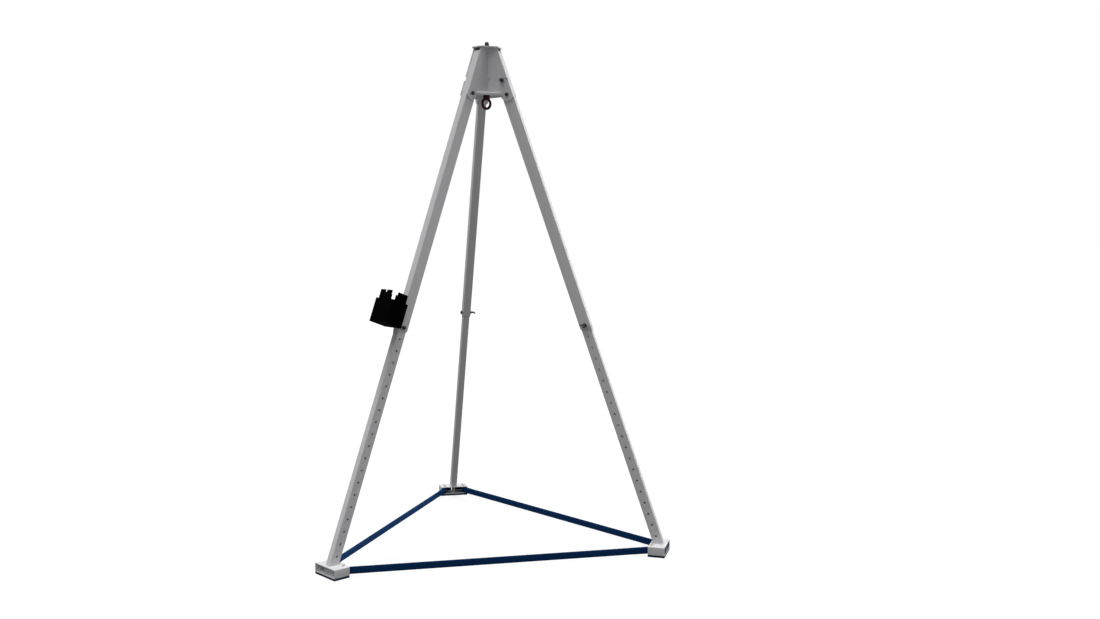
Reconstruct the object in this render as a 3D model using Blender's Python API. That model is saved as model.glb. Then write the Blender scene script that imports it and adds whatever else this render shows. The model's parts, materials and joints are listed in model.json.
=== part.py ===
"""Lifting tripod: three telescopic rectangular legs hinged in a welded head.

Metres, +Z up. The origin lies on the floor under the middle of the box around the feet.
A leg is modelled about its pivot: X runs outward across the leg, Y along the pivot
bolt (counter-clockwise seen from above) and Z up along the leg.
"""

import math

import bmesh
import bpy
from mathutils import Matrix, Vector

GAP = 0.0003                    # seat between two pieces that touch
LAP = 0.001                     # overlap of two shapes that become one
OVERRUN = 0.01                  # a cutter's end past the face it opens

# Stance
LEG_AZIMUTHS = {"left": 210.0, "right": 330.0, "back": 90.0}
LEG_TILT = math.radians(20.0)   # from the vertical, legs open
LEG_LENGTH = 2.030              # pivot to the foot's top face, along the leg
PIVOT_RADIUS = 0.0996           # tripod axis to the pivot bolt

# Foot: a two-chamber extrusion on a rubber pad
SOLE_THICKNESS = 0.008
FOOT_HEIGHT = 0.036
FOOT_WIDTH = 0.136
FOOT_DEPTH = 0.0715
FOOT_WALL = 0.0025
STRAP_BOLT_INSET = 0.021        # from the foot's middle towards the tripod axis
STRAP_BOLT_SIDE = 0.021         # from the foot's side to the bolt
STRAP_BOLT_RISE = 0.012         # stands above the foot
SOLE_POCKET_RADIUS = 0.0085

# Leg tubes
OUTER_DEPTH = 0.049
OUTER_WIDTH = 0.035
OUTER_WALL = 0.00275
TUBE_TOP_RADIUS = 0.0119        # tripod axis to the inner face of a tube at its upper end
OUTER_BOTTOM = 1.053            # below the pivot
INNER_WALL = 0.0025
INNER_TOP = 0.930               # below the pivot, leg drawn out
TUBE_CORNER = 0.0025
INSIDE_CORNER = 0.0008
PLUG_RIM = 0.003
PLUG_SPIGOT = 0.014
COLLAR_LENGTH = 0.0155          # the outer tube's end to the collar's level lower edge, along the leg
COLLAR_WALL = 0.0006            # at the lower edge

# Leg locking: a row of holes and one pin
HOLE_RADIUS = 0.0043
HOLE_PITCH = 0.050
HOLE_END_MARGIN = 0.030         # least from the last hole to the foot's top face
LOCK_DROP = 1.045               # pivot to the lock pin, along the leg
LOCK_HEAD_RADIUS = 0.009
LOCK_HEAD_THICKNESS = 0.006
LOCK_EDGE = 0.001
LOCK_STEM_RADIUS = 0.0042
LOCK_REACH = 0.027              # the handle's end, from the tube's side
LOCK_HANDLE_THICKNESS = 0.007
LOCK_HANDLE_WIDTH = 0.009
LOCK_HANDLE_LENGTH = 0.0171
LOCK_HOOK_SLOPE = 0.0054        # the hook's outer slope, along the pin
LOCK_HOOK_SHOULDER = 0.0063     # the handle's top down to the hook's outer corner
LOCK_HOOK_DROP = 0.0117         # and down to its tip
LOCK_HOOK_TIP = 0.0021
LOCK_HOOK_ROOT = 0.0081         # the handle's end in to the hook's inner corner
LOCK_BAR_LENGTH = 0.032
LOCK_BAR_THICKNESS = 0.004
LOCK_BAR_WIDTH = 0.005
SOCKET_RADIUS = 0.0078
SOCKET_LENGTH = 0.009

# Head: three V-shaped panels between two plates
ARM_PLAY = 0.001                # tube to each flange of its arm
PANEL_THICKNESS = 0.006
FLANGE_PROUD = 0.0001           # the flange's outer edge past the tube's outer face
LOBE_RADIUS = 0.028
NOTCH_LOW = 0.048               # above the pivot, along the leg
NOTCH_HIGH = 0.068
NOTCH_DEPTH = 0.0105
PLUG_CLEARANCE = 0.0085         # a top plug's highest edge to the top plate
TOP_PLATE_THICKNESS = 0.006
TOP_PLATE_OVERHANG = 0.0059     # past the flanges' outer edges
TOP_PLATE_SIDE = 0.0027         # past the flanges' faces
BOTTOM_PLATE_RISE = 0.0084      # pivot to the bottom plate's top face
BOTTOM_PLATE_DEPTH = 0.013      # over its turned-down lips
BOTTOM_PLATE_THICKNESS = 0.005
BOTTOM_PLATE_BEND = 0.0045
LIP_INSET = 0.0142              # pivot bolt in to the end of a lip
SLOT_CLEARANCE = 0.001          # a slot's inner end to the tube
DART_DEPTHS = (0.0263, 0.1258)  # each dart's widest place, below the top plate
DART_HALF_WIDTH = 0.0172
DART_RISE = 0.0072
DART_DROP = 0.0235

# Pivots
BUSH_RADIUS = 0.006
PIVOT_BOLT_RADIUS = 0.004
PIVOT_HEX = 0.013               # across flats
PIVOT_HEAD_THICKNESS = 0.0053
PIVOT_NUT_THICKNESS = 0.0068
FLANGE_NUT_RADIUS = 0.008        # the flange under a bolt's head or nut
FLANGE_NUT_THICKNESS = 0.0016
BOLT_END = 0.003                # thread past the nut

# Head locks: a sprung plunger in one flange of each arm
HEAD_LOCK_RISE = 0.0644         # above the pivot, along the leg
HEAD_LOCK_NOSE_RADIUS = 0.005
HEAD_LOCK_NOSE_LENGTH = 0.003
HEAD_LOCK_STEM_RADIUS = 0.0025
HEAD_LOCK_NECK_RADIUS = 0.007
HEAD_LOCK_HEX = 0.017
HEAD_LOCK_HEX_THICKNESS = 0.005
HEAD_LOCK_CAP = 0.002
HEAD_LOCK_KNOB_RADIUS = 0.0085
HEAD_LOCK_KNOB_LENGTH = 0.009
SPRING_WIRE_RADIUS = 0.0004
SPRING_TURNS = 3
SPRING_STEPS = 10               # per turn

# Lifting eye on a tie rod
ROD_RADIUS = 0.006
EYE_SECTION_RADIUS = 0.0059
EYE_RING_RADIUS = 0.0214
EYE_ANGLE = math.radians(26.0)
EYE_COLLAR_RADIUS = 0.015
EYE_COLLAR_HEIGHT = 0.0147
EYE_COLLAR_LAP = 0.0055         # the ring's top inside the collar
EYE_THREAD_DEPTH = 0.010
EYE_CHAMFER = 0.002
EYE_WASHER_RADIUS = 0.014
EYE_WASHER_THICKNESS = 0.002
CAP_NUT_HEX = 0.019
CAP_NUT_HEX_HEIGHT = 0.0125     # with its flange
CAP_NUT_HEIGHT = 0.0237
CAP_NUT_DOME_RADIUS = 0.0089
CAP_NUT_DOME_RISE = 0.0053      # the rounded part of the dome
CAP_NUT_TIP_RADIUS = 0.0011
CAP_NUT_DOME_STEPS = 4
CAP_NUT_BORE_DEPTH = 0.0175
CAP_FLANGE_RADIUS = 0.012
CAP_FLANGE_THICKNESS = 0.0025

# Straps between the feet
STRAP_THICKNESS = 0.003
STRAP_WIDTH = 0.0300
STRAP_FLOOR_CLEARANCE = 0.0005  # above the chamber's floor

# Device bracket on the left leg
BRACKET_HALF_WIDTH = 0.055
BRACKET_BACK = 0.0390           # from the leg's line
BRACKET_FRONT = 0.1225
BRACKET_BOTTOM = 1.058          # below the pivot
BRACKET_TOP = 0.957
BRACKET_SHEET = 0.004
FRONT_TAB_HALF_WIDTH = 0.037
FRONT_TAB_TOP = 0.920
FRONT_TAB_NOTCH = 0.011
FRONT_TAB_NOTCH_DEPTH = 0.010
SIDE_TAB_BACK = 0.051
SIDE_TAB_FRONT = 0.100
SIDE_TAB_TOP = 0.922
SIDE_STEP_FRONT = 0.1085
SIDE_STEP_TOP = 0.936
SADDLE_HALF_WIDTH = 0.0150
SADDLE_BOTTOM = 1.036
SADDLE_TOP = 0.979
BRACKET_SCREW_RADIUS = 0.003
BRACKET_SCREW_DEPTH = 0.010
BRACKET_SCREW_SPREAD = 0.008
BRACKET_SCREW_INSET = 0.012

ROUND = 16                      # sides of a small round piece
HOLE_SIDES = 10
WIRE_SIDES = 5
RING_SIDES = 24

FINISHES = {                    # colour, roughness, metallic
    "aluminium": ((0.56, 0.57, 0.58, 1.0), 0.42, 0.9),
    "black_plastic": ((0.012, 0.012, 0.013, 1.0), 0.5, 0.0),
    "grey_plastic": ((0.22, 0.23, 0.24, 1.0), 0.5, 0.0),
    "black_zinc": ((0.03, 0.03, 0.032, 1.0), 0.4, 0.8),
    "steel": ((0.45, 0.45, 0.46, 1.0), 0.35, 1.0),
    "red_paint": ((0.04, 0.0012, 0.0024, 1.0), 0.3, 0.0),
    "rubber": ((0.0045, 0.009, 0.022, 1.0), 0.7, 0.0),
    "webbing": ((0.004, 0.022, 0.065, 1.0), 0.85, 0.0),
    "black_paint": ((0.004, 0.004, 0.004, 1.0), 0.5, 0.0),
}

# What follows from the driving sizes
FOOT_TOP = SOLE_THICKNESS + FOOT_HEIGHT
PIVOT_HEIGHT = FOOT_TOP + LEG_LENGTH * math.cos(LEG_TILT)
FOOT_RADIUS = PIVOT_RADIUS + LEG_LENGTH * math.sin(LEG_TILT)
FLANGE_INSIDE = OUTER_WIDTH / 2 + ARM_PLAY
FLANGE_OUTSIDE = FLANGE_INSIDE + PANEL_THICKNESS
FLANGE_REACH = OUTER_DEPTH / 2 + FLANGE_PROUD
OUTER_TOP = (PIVOT_RADIUS - TUBE_TOP_RADIUS - OUTER_DEPTH / 2 * math.cos(LEG_TILT)) / math.sin(LEG_TILT)
PLUG_TOP = OUTER_TOP + GAP + PLUG_RIM
HEAD_RISE = PLUG_TOP * math.cos(LEG_TILT) + OUTER_DEPTH / 2 * math.sin(LEG_TILT) + PLUG_CLEARANCE
TOP_PLATE_LOW = PIVOT_HEIGHT + HEAD_RISE
TOP_PLATE_HIGH = TOP_PLATE_LOW + TOP_PLATE_THICKNESS
BOTTOM_PLATE_HIGH = PIVOT_HEIGHT + BOTTOM_PLATE_RISE
BOTTOM_PLATE_LOW = BOTTOM_PLATE_HIGH - BOTTOM_PLATE_DEPTH
BOTTOM_PLATE_UNDERSIDE = BOTTOM_PLATE_HIGH - BOTTOM_PLATE_THICKNESS
BORE_DEPTH = OUTER_DEPTH - 2 * OUTER_WALL
BORE_WIDTH = OUTER_WIDTH - 2 * OUTER_WALL
INNER_DEPTH = BORE_DEPTH - 2 * GAP
INNER_WIDTH = BORE_WIDTH - 2 * GAP
ROOT_3_HALF = math.sin(math.radians(60.0))
SLOT_RADIUS = (
    PIVOT_RADIUS - OUTER_DEPTH / 2 / math.cos(LEG_TILT) - BOTTOM_PLATE_RISE * math.tan(LEG_TILT) - SLOT_CLEARANCE
)
BOTTOM_PLATE_FRONT = (PIVOT_RADIUS - LIP_INSET) / 2 + (FLANGE_OUTSIDE + GAP) * ROOT_3_HALF
COLLAR_LOW = PIVOT_HEIGHT - (OUTER_BOTTOM + COLLAR_LENGTH) * math.cos(LEG_TILT)
HOLE_COUNT = 1 + int((LEG_LENGTH - HOLE_END_MARGIN - LOCK_DROP) / HOLE_PITCH)
STRAP_BOLT_SPREAD = FOOT_WIDTH / 2 - STRAP_BOLT_SIDE
FEET_SPAN = FOOT_RADIUS + FOOT_DEPTH / 2
AXIS_Y = -(FEET_SPAN - FEET_SPAN / 2 - FOOT_WIDTH / 2 * ROOT_3_HALF) / 2


def turned(degrees):
    """Rotation about the vertical."""
    return Matrix.Rotation(math.radians(degrees), 4, "Z")


TRIPOD_AXIS = Matrix.Translation((0.0, AXIS_Y, 0.0))
LEG_AT_PIVOT = Matrix.Translation((PIVOT_RADIUS, 0.0, PIVOT_HEIGHT)) @ Matrix.Rotation(-LEG_TILT, 4, "Y")
ALONG_Y = Matrix.Rotation(math.radians(-90.0), 4, "X")      # a shape's +Z turned to +Y
ALONG_MINUS_Y = Matrix.Rotation(math.radians(90.0), 4, "X")  # a shape's +Z turned to -Y
ALONG_X = Matrix.Rotation(math.radians(90.0), 4, "Y")


def clear_scene():
    """Remove whatever the scene holds."""
    for item in list(bpy.data.objects):
        bpy.data.objects.remove(item, do_unlink=True)


# Outlines

def circle(radius, sides=ROUND):
    """Points of a round outline, counter-clockwise."""
    turns = [2 * math.pi * (i + 0.5) / sides for i in range(sides)]
    return [(radius * math.cos(t), radius * math.sin(t)) for t in turns]


def hexagon(flats):
    """Points of a hexagon given by its width across flats."""
    return circle(flats / 2 / ROOT_3_HALF, 6)


def rounded_rectangle(depth, width, corner=TUBE_CORNER, steps=2):
    """Points of a rectangle with round corners, counter-clockwise."""
    points = []
    for quarter, (sx, sy) in enumerate(((1, 1), (-1, 1), (-1, -1), (1, -1))):
        for step in range(steps + 1):
            turn = math.pi / 2 * (quarter + step / steps)
            points.append((
                sx * (depth / 2 - corner) + corner * math.cos(turn),
                sy * (width / 2 - corner) + corner * math.sin(turn),
            ))
    return points


# Solids

def stack(sections):
    """Closed solid through sections, each a ring of 3-D points with as many points as the last."""
    shape = bmesh.new()
    rings = [[shape.verts.new(point) for point in ring] for ring in sections]
    shape.faces.new(rings[0])
    shape.faces.new(rings[-1])
    for lower, upper in zip(rings, rings[1:]):
        for i in range(len(lower)):
            shape.faces.new((lower[i - 1], lower[i], upper[i], upper[i - 1]))
    bmesh.ops.recalc_face_normals(shape, faces=shape.faces)
    return shape


def at_height(outline, height):
    """A flat outline lifted to one height."""
    return [(x, y, height) for x, y in outline]


def prism(outline, low, high):
    """Closed prism over an outline in X and Y."""
    return stack([at_height(outline, low), at_height(outline, high)])


def block(x, y, z):
    """Rectangular block between the pairs of limits x, y and z."""
    outline = [(x[0], y[0]), (x[1], y[0]), (x[1], y[1]), (x[0], y[1])]
    return prism(outline, z[0], z[1])


def closed_loop(sections):
    """Closed solid whose last section joins its first, such as a tube's wall or a ring."""
    shape = bmesh.new()
    rings = [[shape.verts.new(point) for point in ring] for ring in sections]
    for ring, following in zip(rings, rings[1:] + rings[:1]):
        for i in range(len(ring)):
            shape.faces.new((ring[i - 1], ring[i], following[i], following[i - 1]))
    bmesh.ops.recalc_face_normals(shape, faces=shape.faces)
    return shape


def sleeve(outer, inner, low, high):
    """Open-ended tube between two outlines with as many points as each other."""
    return closed_loop([
        at_height(outer, low), at_height(outer, high), at_height(inner, high), at_height(inner, low),
    ])


def washer(radius, bore, low, high):
    """Flat ring."""
    return sleeve(circle(radius), circle(bore), low, high)


def moved(shape, place):
    """The shape, transformed."""
    bmesh.ops.transform(shape, matrix=place, verts=shape.verts)
    return shape


def to_mesh(name, shape):
    """A mesh from a shape."""
    mesh = bpy.data.meshes.new(name)
    shape.to_mesh(mesh)
    shape.free()
    return mesh


def together(shapes):
    """One shape made of several that keep apart."""
    whole = bmesh.new()
    for shape in shapes:
        piece = to_mesh("piece", shape)
        whole.from_mesh(piece)
        bpy.data.meshes.remove(piece)
    return whole


def combine(operation, base, *tools):
    """Boolean of a mesh with shapes, one after another."""
    scene = bpy.context.scene.collection.objects
    body = bpy.data.objects.new("body", base)
    scene.link(body)
    helpers = []
    for tool in tools:
        helper = bpy.data.objects.new("tool", to_mesh("tool", tool))
        scene.link(helper)
        helpers.append(helper)
        step = body.modifiers.new("step", "BOOLEAN")
        step.operation = operation
        step.object = helper
    view = bpy.context.evaluated_depsgraph_get()
    result = bpy.data.meshes.new_from_object(body.evaluated_get(view))
    for item in [body, *helpers]:
        bpy.data.objects.remove(item, do_unlink=True)
    result.name = base.name
    return result


def cut(base, *tools):
    """The mesh without the tools' volume."""
    return combine("DIFFERENCE", base, *tools)


def joined(base, *tools):
    """The mesh with the tools' volume."""
    return combine("UNION", base, *tools)


# Objects

def frame(name, place, parent=None):
    """An empty that carries other pieces."""
    empty = bpy.data.objects.new(name, None)
    empty.empty_display_size = 0.05
    bpy.context.scene.collection.objects.link(empty)
    empty.parent = parent
    empty.matrix_local = place
    return empty


def add(name, mesh, finish, parent, place=None):
    """A sub-part with its own material."""
    colour, roughness, metallic = FINISHES[finish]
    material = bpy.data.materials.new(f"{name}_{finish}")
    material.use_nodes = True
    shader = material.node_tree.nodes["Principled BSDF"]
    shader.inputs["Base Color"].default_value = colour
    shader.inputs["Roughness"].default_value = roughness
    shader.inputs["Metallic"].default_value = metallic
    if not mesh.materials:
        mesh.materials.append(None)
    mesh.shade_smooth()
    mesh.set_sharp_from_angle(angle=math.radians(30.0))
    item = bpy.data.objects.new(name, mesh)
    bpy.context.scene.collection.objects.link(item)
    item.parent = parent
    item.matrix_local = place or Matrix()
    item.material_slots[0].link = "OBJECT"
    item.material_slots[0].material = material
    return item


# Head

def leg_point(across, along):
    """Distance from the tripod axis and height of a point beside the leg's line."""
    return (
        PIVOT_RADIUS + across * math.cos(LEG_TILT) - along * math.sin(LEG_TILT),
        PIVOT_HEIGHT + across * math.sin(LEG_TILT) + along * math.cos(LEG_TILT),
    )


def flange_outline(notched):
    """A flange's outline past the crease: along the bottom plate, round the lobe and up its sloping edge."""
    seat = BOTTOM_PLATE_HIGH + GAP
    start = math.pi - math.asin((seat - PIVOT_HEIGHT) / LOBE_RADIUS)
    end = 2 * math.pi + LEG_TILT - math.acos(FLANGE_REACH / LOBE_RADIUS)
    steps = 14
    points = []
    for step in range(steps + 1):
        turn = start + (end - start) * step / steps
        points.append((PIVOT_RADIUS + LOBE_RADIUS * math.cos(turn), PIVOT_HEIGHT + LOBE_RADIUS * math.sin(turn)))
    if notched:
        bed = FLANGE_REACH - NOTCH_DEPTH
        points += [
            leg_point(FLANGE_REACH, NOTCH_LOW), leg_point(bed, NOTCH_LOW),
            leg_point(bed, NOTCH_HIGH), leg_point(FLANGE_REACH, NOTCH_HIGH),
        ]
    return points + [leg_point(FLANGE_REACH, flange_top(HEAD_RISE - GAP))]


def dart(depth):
    """Pressed gusset across the crease: four corners, each a little inside the panel."""
    bury = 0.0006
    crease = FLANGE_OUTSIDE / ROOT_3_HALF - 2 * bury
    reach = crease + DART_HALF_WIDTH / 2 - bury
    side = DART_HALF_WIDTH * ROOT_3_HALF + bury
    level = TOP_PLATE_LOW - depth
    shape = bmesh.new()
    corners = [
        (crease, 0.0, level + DART_RISE), (crease, 0.0, level - DART_DROP),
        (reach, side, level), (reach, -side, level),
    ]
    verts = [shape.verts.new(corner) for corner in corners]
    for face in ((0, 2, 3), (1, 3, 2), (0, 1, 2), (0, 3, 1)):
        shape.faces.new([verts[i] for i in face])
    bmesh.ops.recalc_face_normals(shape, faces=shape.faces)
    return shape


def head_panel():
    """V-shaped panel that opens along +X; its wings are flanges of the arms at -60 and +60 degrees."""
    shape = bmesh.new()
    for arm, side, notched in ((-60.0, 1, False), (60.0, -1, True)):
        faces = []
        for plane in (FLANGE_OUTSIDE, FLANGE_INSIDE):
            crease = plane / math.tan(math.radians(60.0))
            outline = flange_outline(notched)
            outline = [(crease, BOTTOM_PLATE_HIGH + GAP)] + outline + [(crease, TOP_PLATE_LOW - GAP)]
            ring = [turned(arm) @ Vector((r, side * plane, z)) for r, z in outline]
            faces.append([shape.verts.new(point) for point in ring])
        outer, inner = faces
        shape.faces.new(outer)
        shape.faces.new(inner)
        for i in range(1, len(outer)):
            shape.faces.new((outer[i - 1], outer[i], inner[i], inner[i - 1]))
    bmesh.ops.remove_doubles(shape, verts=shape.verts, dist=0.00001)
    bmesh.ops.recalc_face_normals(shape, faces=shape.faces)
    mesh = joined(to_mesh("head_panel", shape), *[dart(depth) for depth in DART_DEPTHS])
    reach = PANEL_THICKNESS / 2 + LAP
    middle = (FLANGE_OUTSIDE + FLANGE_INSIDE) / 2
    cutters = []
    for arm, side in ((-60.0, 1), (60.0, -1)):
        place = turned(arm) @ Matrix.Translation((PIVOT_RADIUS, side * middle, PIVOT_HEIGHT)) @ ALONG_Y
        cutters.append(moved(prism(circle(PIVOT_BOLT_RADIUS + GAP), -reach, reach), place))
    radius, height = leg_point(0.0, HEAD_LOCK_RISE)
    place = turned(60.0) @ Matrix.Translation((radius, -middle, height)) @ ALONG_Y
    cutters.append(moved(prism(circle(HEAD_LOCK_NECK_RADIUS + GAP), -reach, reach), place))
    return cut(mesh, *cutters)


def flange_top(rise):
    """How far along the leg a flange's sloping edge reaches a height above the pivot."""
    return (rise - FLANGE_REACH * math.sin(LEG_TILT)) / math.cos(LEG_TILT)


def top_plate():
    """Flat hexagonal plate with a bore for the tie rod."""
    reach = leg_point(FLANGE_REACH, flange_top(HEAD_RISE))[0] + TOP_PLATE_OVERHANG
    half = FLANGE_OUTSIDE + TOP_PLATE_SIDE
    outline = []
    for azimuth in LEG_AZIMUTHS.values():
        for side in (-1, 1):
            corner = turned(azimuth) @ Vector((reach, side * half, 0.0))
            outline.append((corner.x, corner.y))
    outline.sort(key=lambda point: math.atan2(point[1], point[0]))
    plate = to_mesh("top_plate", prism(outline, TOP_PLATE_LOW, TOP_PLATE_HIGH))
    return cut(plate, prism(circle(ROD_RADIUS + GAP), TOP_PLATE_LOW - OVERRUN, TOP_PLATE_HIGH + OVERRUN))


def bottom_plate_outline(front, slot, half_width):
    """Three straight fronts between the legs and a slot for each leg."""
    corner = (front - half_width * ROOT_3_HALF) / 0.5
    outline = []
    for azimuth in sorted(LEG_AZIMUTHS.values()):
        for radius, side in ((corner, -1), (slot, -1), (slot, 1), (corner, 1)):
            point = turned(azimuth) @ Vector((radius, side * half_width, 0.0))
            outline.append((point.x, point.y))
    return outline


def bottom_plate():
    """Pressed plate with turned-down lips, slotted for the legs."""
    half_width = FLANGE_OUTSIDE + GAP
    outline = bottom_plate_outline(BOTTOM_PLATE_FRONT, SLOT_RADIUS, half_width)
    shape = prism(outline, BOTTOM_PLATE_LOW, BOTTOM_PLATE_HIGH)
    bends = []
    for edge in shape.edges:
        middle = (edge.verts[0].co + edge.verts[1].co) / 2
        on_top = middle.z > BOTTOM_PLATE_HIGH - GAP
        if on_top and abs(middle.xy.length - BOTTOM_PLATE_FRONT) < GAP:
            bends.append(edge)
    bmesh.ops.bevel(shape, geom=bends, offset=BOTTOM_PLATE_BEND, segments=4, profile=0.5, affect="EDGES")
    wall = BOTTOM_PLATE_THICKNESS
    pocket = bottom_plate_outline(BOTTOM_PLATE_FRONT - wall, SLOT_RADIUS - wall, half_width + wall)
    return cut(
        to_mesh("bottom_plate", shape),
        prism(pocket, BOTTOM_PLATE_LOW - OVERRUN, BOTTOM_PLATE_UNDERSIDE),
        prism(circle(ROD_RADIUS + GAP), BOTTOM_PLATE_LOW, BOTTOM_PLATE_HIGH + OVERRUN),
    )


EYE_TOP = BOTTOM_PLATE_UNDERSIDE - EYE_WASHER_THICKNESS - 2 * GAP
EYE_COLLAR_LOW = EYE_TOP - EYE_COLLAR_HEIGHT
EYE_CENTRE = EYE_COLLAR_LOW + EYE_COLLAR_LAP - EYE_SECTION_RADIUS - EYE_RING_RADIUS
CAP_NUT_LOW = TOP_PLATE_HIGH + GAP


def ring_eye():
    """Forged ring with a round collar, threaded from above."""
    ring = []
    section = circle(EYE_SECTION_RADIUS, HOLE_SIDES)
    for step in range(RING_SIDES):
        turn = 2 * math.pi * step / RING_SIDES
        spoke = Vector((math.cos(turn), 0.0, math.sin(turn)))
        ring.append([spoke * (EYE_RING_RADIUS + x) + Vector((0.0, y, 0.0)) for x, y in section])
    shape = moved(closed_loop(ring), Matrix.Translation((0.0, 0.0, EYE_CENTRE)))
    wide = circle(EYE_COLLAR_RADIUS, RING_SIDES)
    collar = stack([
        at_height(circle(EYE_COLLAR_RADIUS - 2 * EYE_CHAMFER, RING_SIDES), EYE_COLLAR_LOW),
        at_height(wide, EYE_COLLAR_LOW + EYE_CHAMFER), at_height(wide, EYE_TOP),
    ])
    thread = prism(circle(ROD_RADIUS + GAP), EYE_TOP - EYE_THREAD_DEPTH, EYE_TOP + OVERRUN)
    return cut(joined(to_mesh("ring_eye", shape), collar), thread)


def cap_nut():
    """Hexagon nut with a flange and a domed end."""
    high = CAP_NUT_LOW + CAP_NUT_HEIGHT
    hex_high = CAP_NUT_LOW + CAP_NUT_HEX_HEIGHT
    shoulder = high - CAP_NUT_DOME_RISE
    dome = [at_height(circle(CAP_NUT_DOME_RADIUS), hex_high - LAP)]
    for step in range(CAP_NUT_DOME_STEPS):
        turn = math.pi / 2 * step / CAP_NUT_DOME_STEPS
        outline = circle(CAP_NUT_DOME_RADIUS * math.cos(turn))
        dome.append(at_height(outline, shoulder + CAP_NUT_DOME_RISE * math.sin(turn)))
    dome.append(at_height(circle(CAP_NUT_TIP_RADIUS), high))
    nut = to_mesh("cap_nut", prism(hexagon(CAP_NUT_HEX), CAP_NUT_LOW + LAP, hex_high))
    flange = prism(circle(CAP_FLANGE_RADIUS), CAP_NUT_LOW, CAP_NUT_LOW + CAP_FLANGE_THICKNESS)
    bore = prism(circle(ROD_RADIUS + GAP), CAP_NUT_LOW - OVERRUN, CAP_NUT_LOW + CAP_NUT_BORE_DEPTH)
    return cut(joined(nut, flange, stack(dome)), bore)


def add_head(axis):
    """Panels, plates, tie rod and washers; the eye hangs from its own frame."""
    panel = head_panel()
    for name, azimuth in (("front", 270.0), ("right", 30.0), ("left", 150.0)):
        add(f"head_panel_{name}", panel, "aluminium", axis, turned(azimuth))
    add("top_plate", top_plate(), "aluminium", axis)
    add("bottom_plate", bottom_plate(), "aluminium", axis)
    bore = ROD_RADIUS + GAP
    low = EYE_TOP + GAP
    add("eye_washer", to_mesh("eye_washer", washer(EYE_WASHER_RADIUS, bore, low, low + EYE_WASHER_THICKNESS)),
        "steel", axis)
    swivel = frame("eye_swivel", turned(math.degrees(EYE_ANGLE)), axis)
    rod_low = EYE_TOP - EYE_THREAD_DEPTH + GAP
    rod_high = CAP_NUT_LOW + CAP_NUT_BORE_DEPTH - GAP
    add("tie_rod", to_mesh("tie_rod", prism(circle(ROD_RADIUS), rod_low, rod_high)), "black_zinc", swivel)
    add("ring_eye", ring_eye(), "red_paint", swivel)
    add("cap_nut", cap_nut(), "black_zinc", swivel)


# Pivots and head locks, in a leg's own directions

def moved_mesh(mesh, place):
    """The mesh, transformed."""
    mesh.transform(place)
    return mesh


def flanged_end(seat, thickness):
    """Hexagon on a round flange, from a seat outward along Z."""
    flange = prism(circle(FLANGE_NUT_RADIUS), seat, seat + FLANGE_NUT_THICKNESS)
    low = seat + FLANGE_NUT_THICKNESS / 2
    high = seat + FLANGE_NUT_THICKNESS + thickness
    return [flange, prism(hexagon(PIVOT_HEX), low, high)]


def pivot_bolt():
    """Bolt along Y with its head on the +Y side and its nut on the other."""
    seat = FLANGE_OUTSIDE + GAP
    end = seat + FLANGE_NUT_THICKNESS + PIVOT_NUT_THICKNESS + BOLT_END
    shank = prism(circle(PIVOT_BOLT_RADIUS), -end, seat + FLANGE_NUT_THICKNESS)
    turn_over = Matrix.Rotation(math.pi, 4, "X")
    nut = [moved(shape, turn_over) for shape in flanged_end(seat, PIVOT_NUT_THICKNESS)]
    bolt = joined(to_mesh("pivot_bolt", shank), *flanged_end(seat, PIVOT_HEAD_THICKNESS), *nut)
    return moved_mesh(bolt, ALONG_Y)


def pivot_bush():
    """Tube between the flanges that the leg turns on."""
    half = FLANGE_INSIDE - GAP
    return to_mesh("pivot_bush", moved(washer(BUSH_RADIUS, PIVOT_BOLT_RADIUS + GAP, -half, half), ALONG_Y))


HOUSING_INNER = FLANGE_INSIDE + GAP
HOUSING_SEAT = FLANGE_OUTSIDE + GAP
HOUSING_END = HOUSING_SEAT + HEAD_LOCK_HEX_THICKNESS
NOSE_END = OUTER_WIDTH / 2 + GAP
CHAMBER_END = HOUSING_END - HEAD_LOCK_CAP


def head_lock_housing():
    """Bush through the flange with a hexagon outside it, hollow for the spring."""
    neck = prism(circle(HEAD_LOCK_NECK_RADIUS), HOUSING_INNER, HOUSING_SEAT + LAP)
    collar = prism(hexagon(HEAD_LOCK_HEX), HOUSING_SEAT, HOUSING_END)
    chamber = prism(circle(HEAD_LOCK_NOSE_RADIUS + GAP), HOUSING_INNER - OVERRUN, CHAMBER_END)
    passage = prism(circle(HEAD_LOCK_STEM_RADIUS + GAP), HOUSING_INNER, HOUSING_END + OVERRUN)
    housing = cut(joined(to_mesh("housing", neck), collar), chamber, passage)
    return moved_mesh(housing, ALONG_MINUS_Y)


def head_lock_pin():
    """Nose, stem and knob of the plunger, along -Y."""
    shoulder = NOSE_END + HEAD_LOCK_NOSE_LENGTH
    knob = HOUSING_END + GAP
    end = knob + HEAD_LOCK_KNOB_LENGTH
    edge = 0.0012
    profile = [
        (HEAD_LOCK_NOSE_RADIUS, NOSE_END), (HEAD_LOCK_NOSE_RADIUS, shoulder),
        (HEAD_LOCK_STEM_RADIUS, shoulder), (HEAD_LOCK_STEM_RADIUS, knob),
        (HEAD_LOCK_KNOB_RADIUS - edge, knob), (HEAD_LOCK_KNOB_RADIUS, knob + edge),
        (HEAD_LOCK_KNOB_RADIUS, end - edge), (HEAD_LOCK_KNOB_RADIUS - edge, end),
    ]
    pin = stack([at_height(circle(radius), height) for radius, height in profile])
    return to_mesh("head_lock_pin", moved(pin, ALONG_MINUS_Y))


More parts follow.
